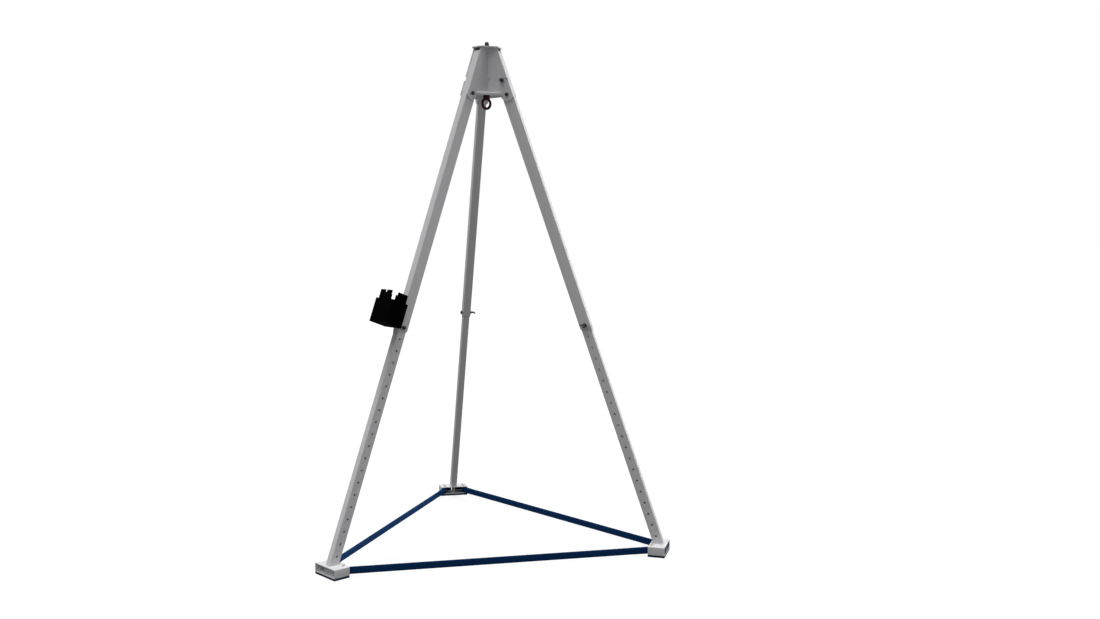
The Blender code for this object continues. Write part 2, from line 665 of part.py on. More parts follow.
def head_lock_spring():
    """Coil round the plunger's stem, between the nose and the housing's cap."""
    low = NOSE_END + HEAD_LOCK_NOSE_LENGTH + GAP + SPRING_WIRE_RADIUS
    high = CHAMBER_END - GAP - SPRING_WIRE_RADIUS
    coil = HEAD_LOCK_NOSE_RADIUS - 2 * SPRING_WIRE_RADIUS
    steps = SPRING_TURNS * SPRING_STEPS
    rings = []
    for step in range(steps + 1):
        turn = 2 * math.pi * step / SPRING_STEPS
        spoke = Vector((math.cos(turn), math.sin(turn), 0.0))
        centre = spoke * coil + Vector((0.0, 0.0, low + (high - low) * step / steps))
        rings.append([
            centre + spoke * x + Vector((0.0, 0.0, y)) for x, y in circle(SPRING_WIRE_RADIUS, WIRE_SIDES)
        ])
    return to_mesh("head_lock_spring", moved(stack(rings), ALONG_MINUS_Y))


def add_pivots(axis):
    """Fixings of each arm that stay with the head."""
    pieces = {
        "pivot_bolt": (pivot_bolt(), "black_zinc", 0.0),
        "pivot_bush": (pivot_bush(), "steel", 0.0),
        "head_lock_housing": (head_lock_housing(), "black_zinc", HEAD_LOCK_RISE),
        "head_lock_spring": (head_lock_spring(), "steel", HEAD_LOCK_RISE),
    }
    for leg, azimuth in LEG_AZIMUTHS.items():
        for piece, (mesh, finish, rise) in pieces.items():
            place = turned(azimuth) @ LEG_AT_PIVOT @ Matrix.Translation((0.0, 0.0, rise))
            add(f"{leg}_{piece}", mesh, finish, axis, place)


# Legs

def level_along(across, height):
    """Where a level cut at a world height crosses a line that runs along the open leg."""
    return (height - PIVOT_HEIGHT - across * math.sin(LEG_TILT)) / math.cos(LEG_TILT)


def level_cut(outline, height):
    """A leg outline ended by a level cut."""
    return [(x, y, level_along(x, height)) for x, y in outline]


def side_bore(radius, along, y_low, y_high):
    """Cutter along Y."""
    return moved(prism(circle(radius, HOLE_SIDES), y_low, y_high), Matrix.Translation((0.0, 0.0, along)) @ ALONG_Y)


def outer_tube():
    """Upper leg section, bored for the pivot bush, the head lock and the leg lock."""
    outer = rounded_rectangle(OUTER_DEPTH, OUTER_WIDTH)
    inner = rounded_rectangle(BORE_DEPTH, BORE_WIDTH, TUBE_CORNER - OUTER_WALL / 2)
    tube = to_mesh("outer_tube", sleeve(outer, inner, -OUTER_BOTTOM, OUTER_TOP))
    half = OUTER_WIDTH / 2 + OVERRUN
    return cut(
        tube,
        moved(prism(circle(BUSH_RADIUS + GAP), -half, half), ALONG_Y),
        side_bore(HEAD_LOCK_NOSE_RADIUS + GAP, HEAD_LOCK_RISE, -half, 0.0),
        side_bore(HOLE_RADIUS, -LOCK_DROP, -half, half),
    )


def inner_tube():
    """Lower leg section with its row of holes, cut level on the foot."""
    outer = rounded_rectangle(INNER_DEPTH, INNER_WIDTH)
    inner = rounded_rectangle(INNER_DEPTH - 2 * INNER_WALL, INNER_WIDTH - 2 * INNER_WALL, INSIDE_CORNER)
    low = FOOT_TOP + GAP
    shape = closed_loop([
        level_cut(outer, low), at_height(outer, -INNER_TOP), at_height(inner, -INNER_TOP), level_cut(inner, low),
    ])
    half = INNER_WIDTH / 2 + OVERRUN
    drills = [side_bore(HOLE_RADIUS, -LOCK_DROP - HOLE_PITCH * number, -half, half) for number in range(HOLE_COUNT)]
    return cut(to_mesh("inner_tube", shape), together(drills))


def top_plug():
    """Plastic plug in the outer tube's upper end: a rim over the end and a spigot inside it."""
    rim = rounded_rectangle(OUTER_DEPTH, OUTER_WIDTH)
    spigot = rounded_rectangle(INNER_DEPTH, INNER_WIDTH, INSIDE_CORNER)
    seat = OUTER_TOP + GAP
    return to_mesh("top_plug", stack([
        at_height(spigot, seat - PLUG_SPIGOT), at_height(spigot, seat), at_height(rim, seat), at_height(rim, PLUG_TOP),
    ]))


def leg_collar():
    """Tapered end of the upper section, cut level below."""
    top = rounded_rectangle(OUTER_DEPTH, OUTER_WIDTH)
    bore = rounded_rectangle(BORE_DEPTH, BORE_WIDTH, TUBE_CORNER - OUTER_WALL / 2)
    lip = rounded_rectangle(BORE_DEPTH + 2 * COLLAR_WALL, BORE_WIDTH + 2 * COLLAR_WALL)
    seat = -OUTER_BOTTOM - GAP
    return to_mesh("leg_collar", closed_loop([
        level_cut(lip, COLLAR_LOW), at_height(top, seat), at_height(bore, seat), level_cut(bore, COLLAR_LOW),
    ]))


def leg_lock_pin():
    """Pin with a round head, a level bar and a hooked pull handle, along -Y from the leg's line."""
    nose = BORE_WIDTH / 2
    seat = OUTER_WIDTH / 2 + GAP
    face = seat + LOCK_HEAD_THICKNESS
    end = OUTER_WIDTH / 2 + LOCK_REACH
    pin = to_mesh("leg_lock_pin", moved(stack([
        at_height(circle(radius), height) for radius, height in (
            (HOLE_RADIUS - GAP, nose), (HOLE_RADIUS - GAP, seat), (LOCK_HEAD_RADIUS, seat),
            (LOCK_HEAD_RADIUS, face - LOCK_EDGE), (LOCK_HEAD_RADIUS - LOCK_EDGE, face),
            (LOCK_STEM_RADIUS, face), (LOCK_STEM_RADIUS, end - LOCK_HANDLE_WIDTH / 2),
        )
    ]), ALONG_MINUS_Y))
    level = Matrix.Rotation(LEG_TILT, 4, "Y")
    half = LOCK_BAR_THICKNESS / 2
    bar = moved(block(
        (-LOCK_BAR_LENGTH + LOCK_HEAD_RADIUS, LOCK_HEAD_RADIUS), (half - face, LOCK_BAR_WIDTH - face - LAP),
        (-half, half),
    ), level)
    high = LOCK_HANDLE_THICKNESS / 2
    half_width = LOCK_HANDLE_WIDTH / 2
    start = end - LOCK_HANDLE_LENGTH
    outline = [
        (start, high), (end - LOCK_HOOK_SLOPE, high), (end, high - LOCK_HOOK_SHOULDER),
        (end - LOCK_HOOK_TIP, high - LOCK_HOOK_DROP), (end - LOCK_HOOK_ROOT, -high), (start, -high),
    ]
    handle = prism([(-y, z) for y, z in outline], -half_width, half_width)
    upright = Matrix(((0, 0, 1, 0), (1, 0, 0, 0), (0, 1, 0, 0), (0, 0, 0, 1)))
    handle = moved(handle, level @ upright)
    return joined(pin, bar, handle)


def leg_lock_socket():
    """Blind bush on the leg's far side that takes the pin's end."""
    seat = OUTER_WIDTH / 2 + GAP
    end = seat + SOCKET_LENGTH
    edge = 0.0015
    shape = stack([
        at_height(circle(SOCKET_RADIUS), seat), at_height(circle(SOCKET_RADIUS), end - edge),
        at_height(circle(SOCKET_RADIUS - edge), end),
    ])
    bore = prism(circle(HOLE_RADIUS), seat - OVERRUN, end - 2 * edge)
    return moved_mesh(cut(to_mesh("socket", shape), bore), ALONG_Y)


def foot_places():
    """Where the two strap bolts stand on a foot."""
    return [
        Matrix.Translation((-STRAP_BOLT_INSET, side * STRAP_BOLT_SPREAD, 0.0)) for side in (-1, 1)
    ]


def foot_profile():
    """Two-chamber extrusion, open towards the tripod axis and away from it."""
    chamber = (FOOT_WIDTH - 3 * FOOT_WALL) / 2
    rib = FOOT_WALL / 2
    length = FOOT_DEPTH / 2 + OVERRUN
    low = SOLE_THICKNESS + GAP
    body = block((-FOOT_DEPTH / 2, FOOT_DEPTH / 2), (-FOOT_WIDTH / 2, FOOT_WIDTH / 2), (low, FOOT_TOP))
    cutters = []
    for side in (-1, 1):
        limits = sorted((side * rib, side * (rib + chamber)))
        cutters.append(block((-length, length), limits, (SOLE_THICKNESS + FOOT_WALL, FOOT_TOP - FOOT_WALL)))
    for place in foot_places():
        cutters.append(moved(prism(circle(HOLE_RADIUS), 0.0, FOOT_TOP + OVERRUN), place))
    return cut(to_mesh("foot_profile", body), *cutters)


def sole_pad():
    """Rubber pad with a pocket round each bolt head."""
    pad = block((-FOOT_DEPTH / 2, FOOT_DEPTH / 2), (-FOOT_WIDTH / 2, FOOT_WIDTH / 2), (0.0, SOLE_THICKNESS))
    pockets = [
        moved(prism(circle(SOLE_POCKET_RADIUS), -OVERRUN, SOLE_THICKNESS + OVERRUN), place)
        for place in foot_places()
    ]
    return cut(to_mesh("sole_pad", pad), *pockets)


def strap_bolt():
    """Bolt up through the foot, its head in the pad's pocket and its nut on top."""
    head = prism(hexagon(PIVOT_HEX), SOLE_THICKNESS - PIVOT_HEAD_THICKNESS, SOLE_THICKNESS)
    shank = prism(circle(PIVOT_BOLT_RADIUS), SOLE_THICKNESS - LAP, FOOT_TOP + STRAP_BOLT_RISE)
    return joined(to_mesh("strap_bolt", shank), head, *flanged_end(FOOT_TOP + GAP, PIVOT_NUT_THICKNESS))


def add_legs(axis):
    """Every leg's pieces, on frames at its pivot, its lock pin and its foot; returns the frames at the pivots."""
    meshes = {
        "outer_tube": (outer_tube(), "aluminium"),
        "top_plug": (top_plug(), "black_plastic"),
        "leg_collar": (leg_collar(), "grey_plastic"),
        "lock_socket": (leg_lock_socket(), "black_zinc"),
        "inner_tube": (inner_tube(), "aluminium"),
        "foot_profile": (foot_profile(), "aluminium"),
        "sole_pad": (sole_pad(), "rubber"),
        "head_lock_pin": (head_lock_pin(), "black_plastic"),
        "leg_lock_pin": (leg_lock_pin(), "black_zinc"),
    }
    bolt = strap_bolt()
    pivots = {}
    for leg, azimuth in LEG_AZIMUTHS.items():
        pivot = frame(f"{leg}_pivot", turned(azimuth) @ LEG_AT_PIVOT, axis)
        lock = frame(f"{leg}_leg_lock", Matrix.Translation((0.0, 0.0, -LOCK_DROP)), pivot)
        spot = turned(azimuth) @ LEG_AT_PIVOT @ Matrix.Translation((0.0, 0.0, HEAD_LOCK_RISE))
        head_lock = frame(f"{leg}_head_lock", spot, axis)
        foot = frame(f"{leg}_foot", turned(azimuth) @ Matrix.Translation((FOOT_RADIUS, 0.0, 0.0)), axis)
        parents = {
            "outer_tube": pivot, "top_plug": pivot, "leg_collar": pivot, "inner_tube": pivot,
            "lock_socket": lock, "leg_lock_pin": lock, "head_lock_pin": head_lock,
            "foot_profile": foot, "sole_pad": foot,
        }
        for piece, (mesh, finish) in meshes.items():
            add(f"{leg}_{piece}", mesh, finish, parents[piece])
        for number, place in enumerate(foot_places(), start=1):
            add(f"{leg}_strap_bolt_{number}", bolt, "steel", foot, place)
        pivots[leg] = pivot
    return pivots


# Straps and bracket

def strap_eye(leg, side):
    """A strap bolt's axis in the tripod's frame."""
    return turned(LEG_AZIMUTHS[leg]) @ Vector((FOOT_RADIUS - STRAP_BOLT_INSET, side * STRAP_BOLT_SPREAD, 0.0))


def strap(start, end):
    """Flat webbing on edge between two bolts."""
    run = end - start
    stop = PIVOT_BOLT_RADIUS + GAP
    low = SOLE_THICKNESS + FOOT_WALL + STRAP_FLOOR_CLEARANCE
    half = STRAP_THICKNESS / 2
    shape = block((stop, run.length - stop), (-half, half), (low, low + STRAP_WIDTH))
    heading = Matrix.Rotation(math.atan2(run.y, run.x), 4, "Z")
    return to_mesh("strap", moved(shape, Matrix.Translation(start) @ heading))


def add_straps(axis):
    """One strap along each side of the triangle of feet."""
    for name, first, last in (("front", "left", "right"), ("right", "right", "back"), ("left", "back", "left")):
        add(f"{name}_strap", strap(strap_eye(first, 1), strap_eye(last, -1)), "webbing", axis)


def bracket_screw_places():
    """Four screws through the bracket's back, in the leg's directions."""
    ends = (-SADDLE_BOTTOM + BRACKET_SCREW_INSET, -SADDLE_TOP - BRACKET_SCREW_INSET)
    return [
        Matrix.Translation((0.0, side * BRACKET_SCREW_SPREAD, along)) for side in (-1, 1) for along in ends
    ]


def device_bracket():
    """Open-topped folded box with raised tabs on its front and sides."""
    half = BRACKET_HALF_WIDTH
    sheet = BRACKET_SHEET
    high = -FRONT_TAB_TOP
    above = high + OVERRUN
    body = block((BRACKET_BACK, BRACKET_FRONT), (-half, half), (-BRACKET_BOTTOM, high))
    hollow = block(
        (BRACKET_BACK + sheet, BRACKET_FRONT - sheet), (sheet - half, half - sheet), (sheet - BRACKET_BOTTOM, above),
    )
    past_back = BRACKET_BACK - OVERRUN
    past_front = BRACKET_FRONT + OVERRUN
    past_side = half + OVERRUN
    inside = half - 2 * sheet
    cutters = [hollow, block((past_back, SIDE_TAB_BACK), (-past_side, past_side), (-BRACKET_TOP, above))]
    notch = FRONT_TAB_NOTCH / 2
    cutters.append(block(
        (BRACKET_FRONT - 2 * sheet, past_front), (-notch, notch), (high - FRONT_TAB_NOTCH_DEPTH, above),
    ))
    for side in (-1, 1):
        corner = sorted((side * FRONT_TAB_HALF_WIDTH, side * past_side))
        wall = sorted((side * inside, side * past_side))
        cutters.append(block((SIDE_STEP_FRONT, past_front), corner, (-BRACKET_TOP, above)))
        cutters.append(block((SIDE_TAB_FRONT, SIDE_STEP_FRONT + GAP), wall, (-SIDE_STEP_TOP, above)))
        cutters.append(block((past_back, past_front), wall, (-SIDE_TAB_TOP, above)))
    for place in bracket_screw_places():
        reach = BRACKET_BACK + sheet + OVERRUN
        drill = prism(circle(BRACKET_SCREW_RADIUS + GAP), past_back, reach)
        cutters.append(moved(drill, place @ ALONG_X))
    return cut(to_mesh("device_bracket", body), *cutters)


def bracket_saddle():
    """Block welded on the leg's outer face, tapped for the bracket's screws."""
    low = OUTER_DEPTH / 2 + GAP
    high = BRACKET_BACK - GAP
    half = SADDLE_HALF_WIDTH
    body = block((low, high), (-half, half), (-SADDLE_BOTTOM, -SADDLE_TOP))
    drills = [
        moved(prism(circle(BRACKET_SCREW_RADIUS + GAP), high - BRACKET_SCREW_DEPTH, high + OVERRUN), place @ ALONG_X)
        for place in bracket_screw_places()
    ]
    return cut(to_mesh("bracket_saddle", body), *drills)


def add_bracket(pivot):
    """Bracket and saddle on one leg's upper section."""
    add("device_bracket", device_bracket(), "black_paint", pivot)
    add("bracket_saddle", bracket_saddle(), "black_paint", pivot)


def main():
    """Build the tripod."""
    clear_scene()
    axis = frame("tripod_axis", TRIPOD_AXIS)
    add_head(axis)
    add_pivots(axis)
    pivots = add_legs(axis)
    add_straps(axis)
    add_bracket(pivots["left"])


main()
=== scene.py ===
"""Looks of a lifting tripod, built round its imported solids.

Metres, +Z up. A leg's own directions run from its pivot: X outward across the leg, Y along the
pivot bolt, Z up along the leg. A foot's run from the floor under its middle: X away from the
tripod's axis, Y as the leg's, Z up.
"""

import json
import logging
import math
from collections.abc import Iterable, Sequence
from dataclasses import dataclass, field
from enum import Enum

import bmesh
import bpy
from mathutils import Matrix, Vector, geometry


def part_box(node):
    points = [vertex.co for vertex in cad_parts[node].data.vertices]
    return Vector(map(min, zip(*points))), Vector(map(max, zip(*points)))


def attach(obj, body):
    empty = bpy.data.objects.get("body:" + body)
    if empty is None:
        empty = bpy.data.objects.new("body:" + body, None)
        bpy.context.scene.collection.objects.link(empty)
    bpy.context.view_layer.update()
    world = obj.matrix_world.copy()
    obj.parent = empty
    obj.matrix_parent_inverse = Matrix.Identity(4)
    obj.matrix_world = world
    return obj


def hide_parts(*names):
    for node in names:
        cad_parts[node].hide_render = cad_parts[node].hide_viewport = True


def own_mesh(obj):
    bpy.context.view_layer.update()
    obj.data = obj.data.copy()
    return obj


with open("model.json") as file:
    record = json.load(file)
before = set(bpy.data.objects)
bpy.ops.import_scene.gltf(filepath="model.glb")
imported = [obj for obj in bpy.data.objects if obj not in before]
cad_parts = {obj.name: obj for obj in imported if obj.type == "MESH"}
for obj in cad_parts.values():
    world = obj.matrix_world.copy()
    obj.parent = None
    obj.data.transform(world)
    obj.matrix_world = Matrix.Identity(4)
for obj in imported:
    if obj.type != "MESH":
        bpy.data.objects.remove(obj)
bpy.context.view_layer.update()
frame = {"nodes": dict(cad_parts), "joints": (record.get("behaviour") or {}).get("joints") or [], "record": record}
LOG = logging.getLogger("tripod")

Tree = bpy.types.NodeTree
Node = bpy.types.Node
Socket = bpy.types.NodeSocket
Mesh = bpy.types.Mesh
Object = bpy.types.Object
Shape = bmesh.types.BMesh
Point = tuple[float, float]

SIDES = 32                      # round a turned piece
SEAT = 0.0003                   # between two pieces that touch
OVERRUN = 0.01                  # a cutter's end past the face it opens
SAME_POINT = 0.00002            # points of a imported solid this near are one
SAME_FACE = math.radians(1.0)   # and faces this level with each other
END_FACE = 0.96                 # a nut's round end face, as a share of its flats
OWN_PLACE = "own_place"         # attribute: a point's place in its piece's own directions
WEAVE = "weave"                 # attribute: metres along and across a strap
ALONG_Y = Matrix.Rotation(math.radians(-90.0), 4, "X")
ALONG_MINUS_Y = Matrix.Rotation(math.radians(90.0), 4, "X")
ALONG_X = Matrix.Rotation(math.radians(90.0), 4, "Y")


def linear(colour: str) -> tuple[float, float, float, float]:
    """Turn an sRGB hex colour to linear.

    Args:
        colour: Six hex digits after a hash.

    Returns:
        Red, green, blue and a full alpha.
    """
    parts = [int(colour[i:i + 2], 16) / 255 for i in (1, 3, 5)]
    red, green, blue = [p / 12.92 if p <= 0.04045 else ((p + 0.055) / 1.055) ** 2.4 for p in parts]
    return red, green, blue, 1.0


def add_node(
    tree: Tree, kind: str, inputs: dict[str | int, object] | None = None, **settings: object,
) -> Node:
    """Add one node with its settings, values and links.

    Args:
        tree: Tree that gets the node.
        kind: The node's type name.
        inputs: Values, output sockets or nodes, whose first output counts, by input name or number.
        settings: Properties of the node.

    Returns:
        The node.
    """
    item = tree.nodes.new(kind)
    for key, value in settings.items():
        setattr(item, key, value)
    for key, value in (inputs or {}).items():
        if isinstance(value, Node):
            value = value.outputs[0]
        if isinstance(value, Socket):
            tree.links.new(value, item.inputs[key])
        else:
            item.inputs[key].default_value = value
    return item


class Grain(Enum):
    """Which way a pattern's long side runs, as scales along X, Y and Z."""

    EVEN = (1.0, 1.0, 1.0)
    ALONG_LEG = (1.0, 1.0, 0.004)
    ALONG_FOOT = (0.02, 1.0, 1.0)


@dataclass(frozen=True)
class Pattern:
    """A noise whose features have a real size."""

    millimetres: float              # size of a feature across its grain
    grain: Grain = Grain.EVEN
    detail: float = 3.0             # finer noise added to it

    def add_to(self, tree: Tree) -> Socket:
        """Add the noise to a material.

        Args:
            tree: The material's tree.

        Returns:
            The noise, from 0 to 1.
        """
        if self.grain is Grain.EVEN:
            place = add_node(tree, "ShaderNodeTexCoord").outputs["Object"]
        else:
            own = add_node(tree, "ShaderNodeAttribute", attribute_name=OWN_PLACE).outputs["Vector"]
            scaled = add_node(tree, "ShaderNodeMapping", {"Vector": own, "Scale": self.grain.value})
            place = scaled.outputs["Vector"]
        made = add_node(tree, "ShaderNodeTexNoise", {
            "Vector": place, "Scale": 1000.0 / self.millimetres, "Detail": self.detail,
        })
        return made.outputs["Fac"]


@dataclass(frozen=True)
class Finish:
    """A surface: patches vary its colour, and a relief varies its gloss and raises its grain."""

    name: str
    slot: str
    colour: str                     # sRGB hex
    roughness: float
    metallic: float = 0.0
    specular: float = 0.5
    coat: float = 0.0
    coat_roughness: float = 0.03
    patches: Pattern = Pattern(10.0)
    shades: tuple[float, float] = (1.0, 1.0)    # shares of the colour between which they run
    relief: Pattern | None = None   # where there is none, the patches are the relief too
    spread: float = 0.0             # most that the relief turns the roughness, each way
    depth: float = 0.0              # its height, in metres
    strength: float = 0.0           # share of that height that shows

    def material(self) -> bpy.types.Material:
        """Make the finish's material, once.

        Returns:
            The material.
        """
        known = bpy.data.materials.get(self.name)
        if known:
            return known
        made = bpy.data.materials.new(self.name)
        made.use_nodes = True
        shader = made.node_tree.nodes["Principled BSDF"]
        for label, value in {
            "Base Color": linear(self.colour), "Metallic": self.metallic, "Roughness": self.roughness,
            "Specular IOR Level": self.specular, "Coat Weight": self.coat, "Coat Roughness": self.coat_roughness,
        }.items():
            shader.inputs[label].default_value = value
        self.draw(made.node_tree, shader)
        return made

    def draw(self, tree: Tree, shader: Node) -> None:
        """Draw the patches and the relief into the shader.

        Args:
            tree: The material's tree.
            shader: Its shader.
        """
        patches = self.patches.add_to(tree)
        relief = self.relief.add_to(tree) if self.relief else patches
        self.shade(tree, shader, patches)
        if self.spread:
            ranged = add_node(tree, "ShaderNodeMapRange", {
                "Value": relief, "To Min": self.roughness - self.spread, "To Max": self.roughness + self.spread,
            })
            tree.links.new(ranged.outputs["Result"], shader.inputs["Roughness"])
        if self.strength:
            self.emboss(tree, shader, relief)

    def shade(self, tree: Tree, shader: Node, factor: Socket) -> None:
        """Vary the colour between its two shades.

        Args:
            tree: The material's tree.
            shader: Its shader.
            factor: Pattern from 0 to 1.
        """
        low, high = [(*[part * share for part in linear(self.colour)[:3]], 1.0) for share in self.shades]
        mix = add_node(tree, "ShaderNodeMix", {"Factor": factor, "A": low, "B": high}, data_type="RGBA")
        tree.links.new(mix.outputs["Result"], shader.inputs["Base Color"])

    def emboss(self, tree: Tree, shader: Node, height: Socket) -> None:
        """Raise a pattern as fine relief.

        Args:
            tree: The material's tree.
            shader: Its shader.
            height: Pattern from 0 to 1.
        """
        bump = add_node(tree, "ShaderNodeBump", {
            "Height": height, "Distance": self.depth, "Strength": self.strength,
        })
        tree.links.new(bump.outputs["Normal"], shader.inputs["Normal"])


@dataclass(frozen=True)
class DrawnAluminium(Finish):
    """Extruded and anodised aluminium: fine die lines along the section under a soft satin sheen."""

    patches: Pattern = Pattern(7.0, Grain.ALONG_LEG)
    shades: tuple[float, float] = (0.955, 1.04)
    relief: Pattern | None = Pattern(0.7, Grain.ALONG_LEG, 1.0)
    spread: float = 0.05
    depth: float = 0.00004
    strength: float = 0.25


@dataclass(frozen=True)
class RolledSheet(Finish):
    """Blasted and anodised sheet: a fine even tooth with faint clouds from handling."""

    patches: Pattern = Pattern(45.0)
    shades: tuple[float, float] = (0.96, 1.035)
    relief: Pattern | None = Pattern(0.5)
    spread: float = 0.04
    depth: float = 0.00004
    strength: float = 0.3


@dataclass(frozen=True)
class WeldMetal(Finish):
    """Laid weld metal: bright ripples with duller grey between them."""

    patches: Pattern = Pattern(1.6)
    shades: tuple[float, float] = (0.82, 1.1)
    spread: float = 0.08


@dataclass(frozen=True)
class PlatedSteel(Finish):
    """Zinc plated steel: small dull spangles and a low metallic gloss."""

    patches: Pattern = Pattern(1.1)
    shades: tuple[float, float] = (0.8, 1.2)
    spread: float = 0.09


@dataclass(frozen=True)
class Enamel(Finish):
    """Enamel on a forging: a thin wet coat over the forging's slow unevenness."""

    specular: float = 0.1
    coat: float = 0.12
    coat_roughness: float = 0.18
    patches: Pattern = Pattern(5.0, detail=2.0)
    shades: tuple[float, float] = (0.85, 1.15)
    depth: float = 0.0003
    strength: float = 0.35


@dataclass(frozen=True)
class PowderCoat(Finish):
    """Fine texture powder coat: a sandy tooth that breaks up every highlight."""

    specular: float = 0.015
    patches: Pattern = Pattern(0.9)
    shades: tuple[float, float] = (0.7, 1.3)
    depth: float = 0.0001
    strength: float = 0.5


@dataclass(frozen=True)
class Moulded(Finish):
    """Moulded rubber or plastic: an eroded, even grain with a dull skin."""

    specular: float = 0.3
    patches: Pattern = Pattern(12.0)
    shades: tuple[float, float] = (0.92, 1.08)
    relief: Pattern | None = Pattern(0.6)
    spread: float = 0.06
    depth: float = 0.00006
    strength: float = 0.4


@dataclass(frozen=True)
class Webbing(Finish):
    """Woven polyester: cords that pass over and under each pick, with a soft blue sheen."""

    specular: float = 0.12
    # painted shade and light: the colour runs from 0.55 of itself in the weave's hollows to 1.2 on its crowns
    shades: tuple[float, float] = (0.55, 1.2)
    depth: float = 0.0003
    strength: float = 0.7
    cord_mm: float = 1.5            # one warp cord
    pick_mm: float = 1.8            # one crossing thread
    sheen: float = 0.6
    sheen_roughness: float = 0.35
    sheen_tint: str = "#2F8FE0"

    def draw(self, tree: Tree, shader: Node) -> None:
        """Draw the weave from the metres along and across the strap, with painted shade in its hollows and its crowns
        painted lighter.

        Args:
            tree: The material's tree.
            shader: Its shader.
        """
        place = add_node(tree, "ShaderNodeAttribute", attribute_name=WEAVE).outputs["Vector"]
        along, across, _ = add_node(tree, "ShaderNodeSeparateXYZ", {"Vector": place}).outputs
        cords = self.worked(tree, "MULTIPLY", across, 1000.0 / self.cord_mm)
        picks = self.worked(tree, "MULTIPLY", along, 1000.0 / self.pick_mm)
        shift = self.worked(tree, "MULTIPLY_ADD", self.worked(tree, "FLOOR", cords), 0.5, picks)
        humps = [
            self.worked(tree, "SINE", self.worked(tree, "MULTIPLY", self.worked(tree, "FRACT", share), math.pi))
            for share in (cords, shift)
        ]
        height = self.worked(tree, "MULTIPLY", *humps)
        # painted shade: the weave's height darkens the hollows between cords and picks and lightens their crowns
        self.shade(tree, shader, height)
        self.emboss(tree, shader, height)
        shader.inputs["Sheen Weight"].default_value = self.sheen
        shader.inputs["Sheen Roughness"].default_value = self.sheen_roughness
        shader.inputs["Sheen Tint"].default_value = linear(self.sheen_tint)

    @staticmethod
    def worked(tree: Tree, operation: str, *values: Socket | float) -> Socket:
        """Add one step of arithmetic and return its result."""
        return add_node(tree, "ShaderNodeMath", dict(enumerate(values)), operation=operation).outputs[0]


TUBE_ALUMINIUM = DrawnAluminium("drawn_aluminium", "aluminium_tube", "#DEDEE0", 0.48)
FOOT_ALUMINIUM = DrawnAluminium(
    "drawn_foot_aluminium", "foot_aluminium", "#E2E2E4", 0.48,
    patches=Pattern(7.0, Grain.ALONG_FOOT), relief=Pattern(0.7, Grain.ALONG_FOOT, 1.0),
)
HEAD_ALUMINIUM = RolledSheet("rolled_aluminium", "aluminium_sheet", "#DCDCDE", 0.5)
WELD = WeldMetal("aluminium_weld", "aluminium_sheet", "#D8D8D8", 0.4)
BLACK_ZINC = PlatedSteel("black_zinc_plate", "black_zinc", "#2A2A2B", 0.5, 0.6)
ZINC = PlatedSteel("zinc_plate", "zinc", "#D6D4D0", 0.42, 0.8)
SPRING_STEEL = PlatedSteel("spring_wire", "spring_steel", "#B8B8B8", 0.3, 1.0)
RED_ENAMEL = Enamel("dark_red_enamel", "red_enamel", "#330007", 0.5)
BLACK_PLASTIC = Moulded("black_moulded_plastic", "black_plastic", "#3E3E40", 0.6)
COLLAR_GREY = Moulded("grey_collar", "grey_plastic", "#D2D2D4", 0.5)
SOLE_RUBBER = Moulded("navy_rubber", "sole_rubber", "#0E2646", 0.8, specular=0.1)
BLUE_WEBBING = Webbing("navy_webbing", "webbing", "#073C74", 0.85)
BLUE_THREAD = Moulded("navy_thread", "webbing", "#1C4A78", 0.7, specular=0.2)
BLACK_COAT = PowderCoat("sandy_black_coat", "black_powder_coat", "#030303", 0.9)


# Shapes


def placed(name: str, data: bpy.types.ID) -> Object:
    """Put an object at the scene's origin.

    Args:
        name: Its name.
        data: Its mesh, lamp or camera.

    Returns:
        The object.
    """
    item = bpy.data.objects.new(name, data)
    bpy.context.scene.collection.objects.link(item)
    return item


def applied(item: Object) -> Mesh:
    """Apply an object's modifiers and remove the object.

    Args:
        item: The object.

    Returns:
        Its mesh as the modifiers leave it.
    """
    graph = bpy.context.evaluated_depsgraph_get()
    mesh = bpy.data.meshes.new_from_object(item.evaluated_get(graph))
    bpy.data.objects.remove(item)
    return mesh


def named(rows: Iterable[dict], name: str) -> dict:
    """Return the row of that name."""
    return next(row for row in rows if row["name"] == name)


def loft(sections: Sequence[Sequence[Vector]], closed: bool = False) -> Shape:
    """Skin rings of as many points each.

    Args:
        sections: The rings, in order. A ring of one point is a pole.
        closed: Whether the last ring joins the first; otherwise the ends are capped.

    Returns:
        The closed shape.
    """
    shape = bmesh.new()
    rings = [[shape.verts.new(point) for point in ring] for ring in sections]
    pairs = list(zip(rings, rings[1:]))
    if closed:
        pairs.append((rings[-1], rings[0]))
    else:
        for ring in (rings[0], rings[-1]):
            if len(ring) > 2:
                shape.faces.new(ring)
    for lower, upper in (pair for pair in pairs if max(map(len, pair)) > 1):
        for i in range(max(len(lower), len(upper))):
            below = [lower[(i - 1) % len(lower)], lower[i % len(lower)]]
            above = [upper[i % len(upper)], upper[(i - 1) % len(upper)]]
            shape.faces.new(list(dict.fromkeys(below + above)))
    bmesh.ops.recalc_face_normals(shape, faces=shape.faces)
    return shape


def lathe(profile: Iterable[Point], sides: int = SIDES, closed: bool = False) -> Shape:
    """Turn a profile about Z.

    Args:
        profile: Radius and height of each corner. A radius of 0 is a pole.
        sides: Points round each ring.
        closed: Whether the profile's end joins its start, as in a sleeve.

    Returns:
        The turned shape.
    """
    sections = []
    for radius, height in profile:
        if radius <= 0.0:
            sections.append([Vector((0.0, 0.0, height))])
            continue
        turns = [2 * math.pi * i / sides for i in range(sides)]
        sections.append([Vector((radius * math.cos(t), radius * math.sin(t), height)) for t in turns])
    return loft(sections, closed)


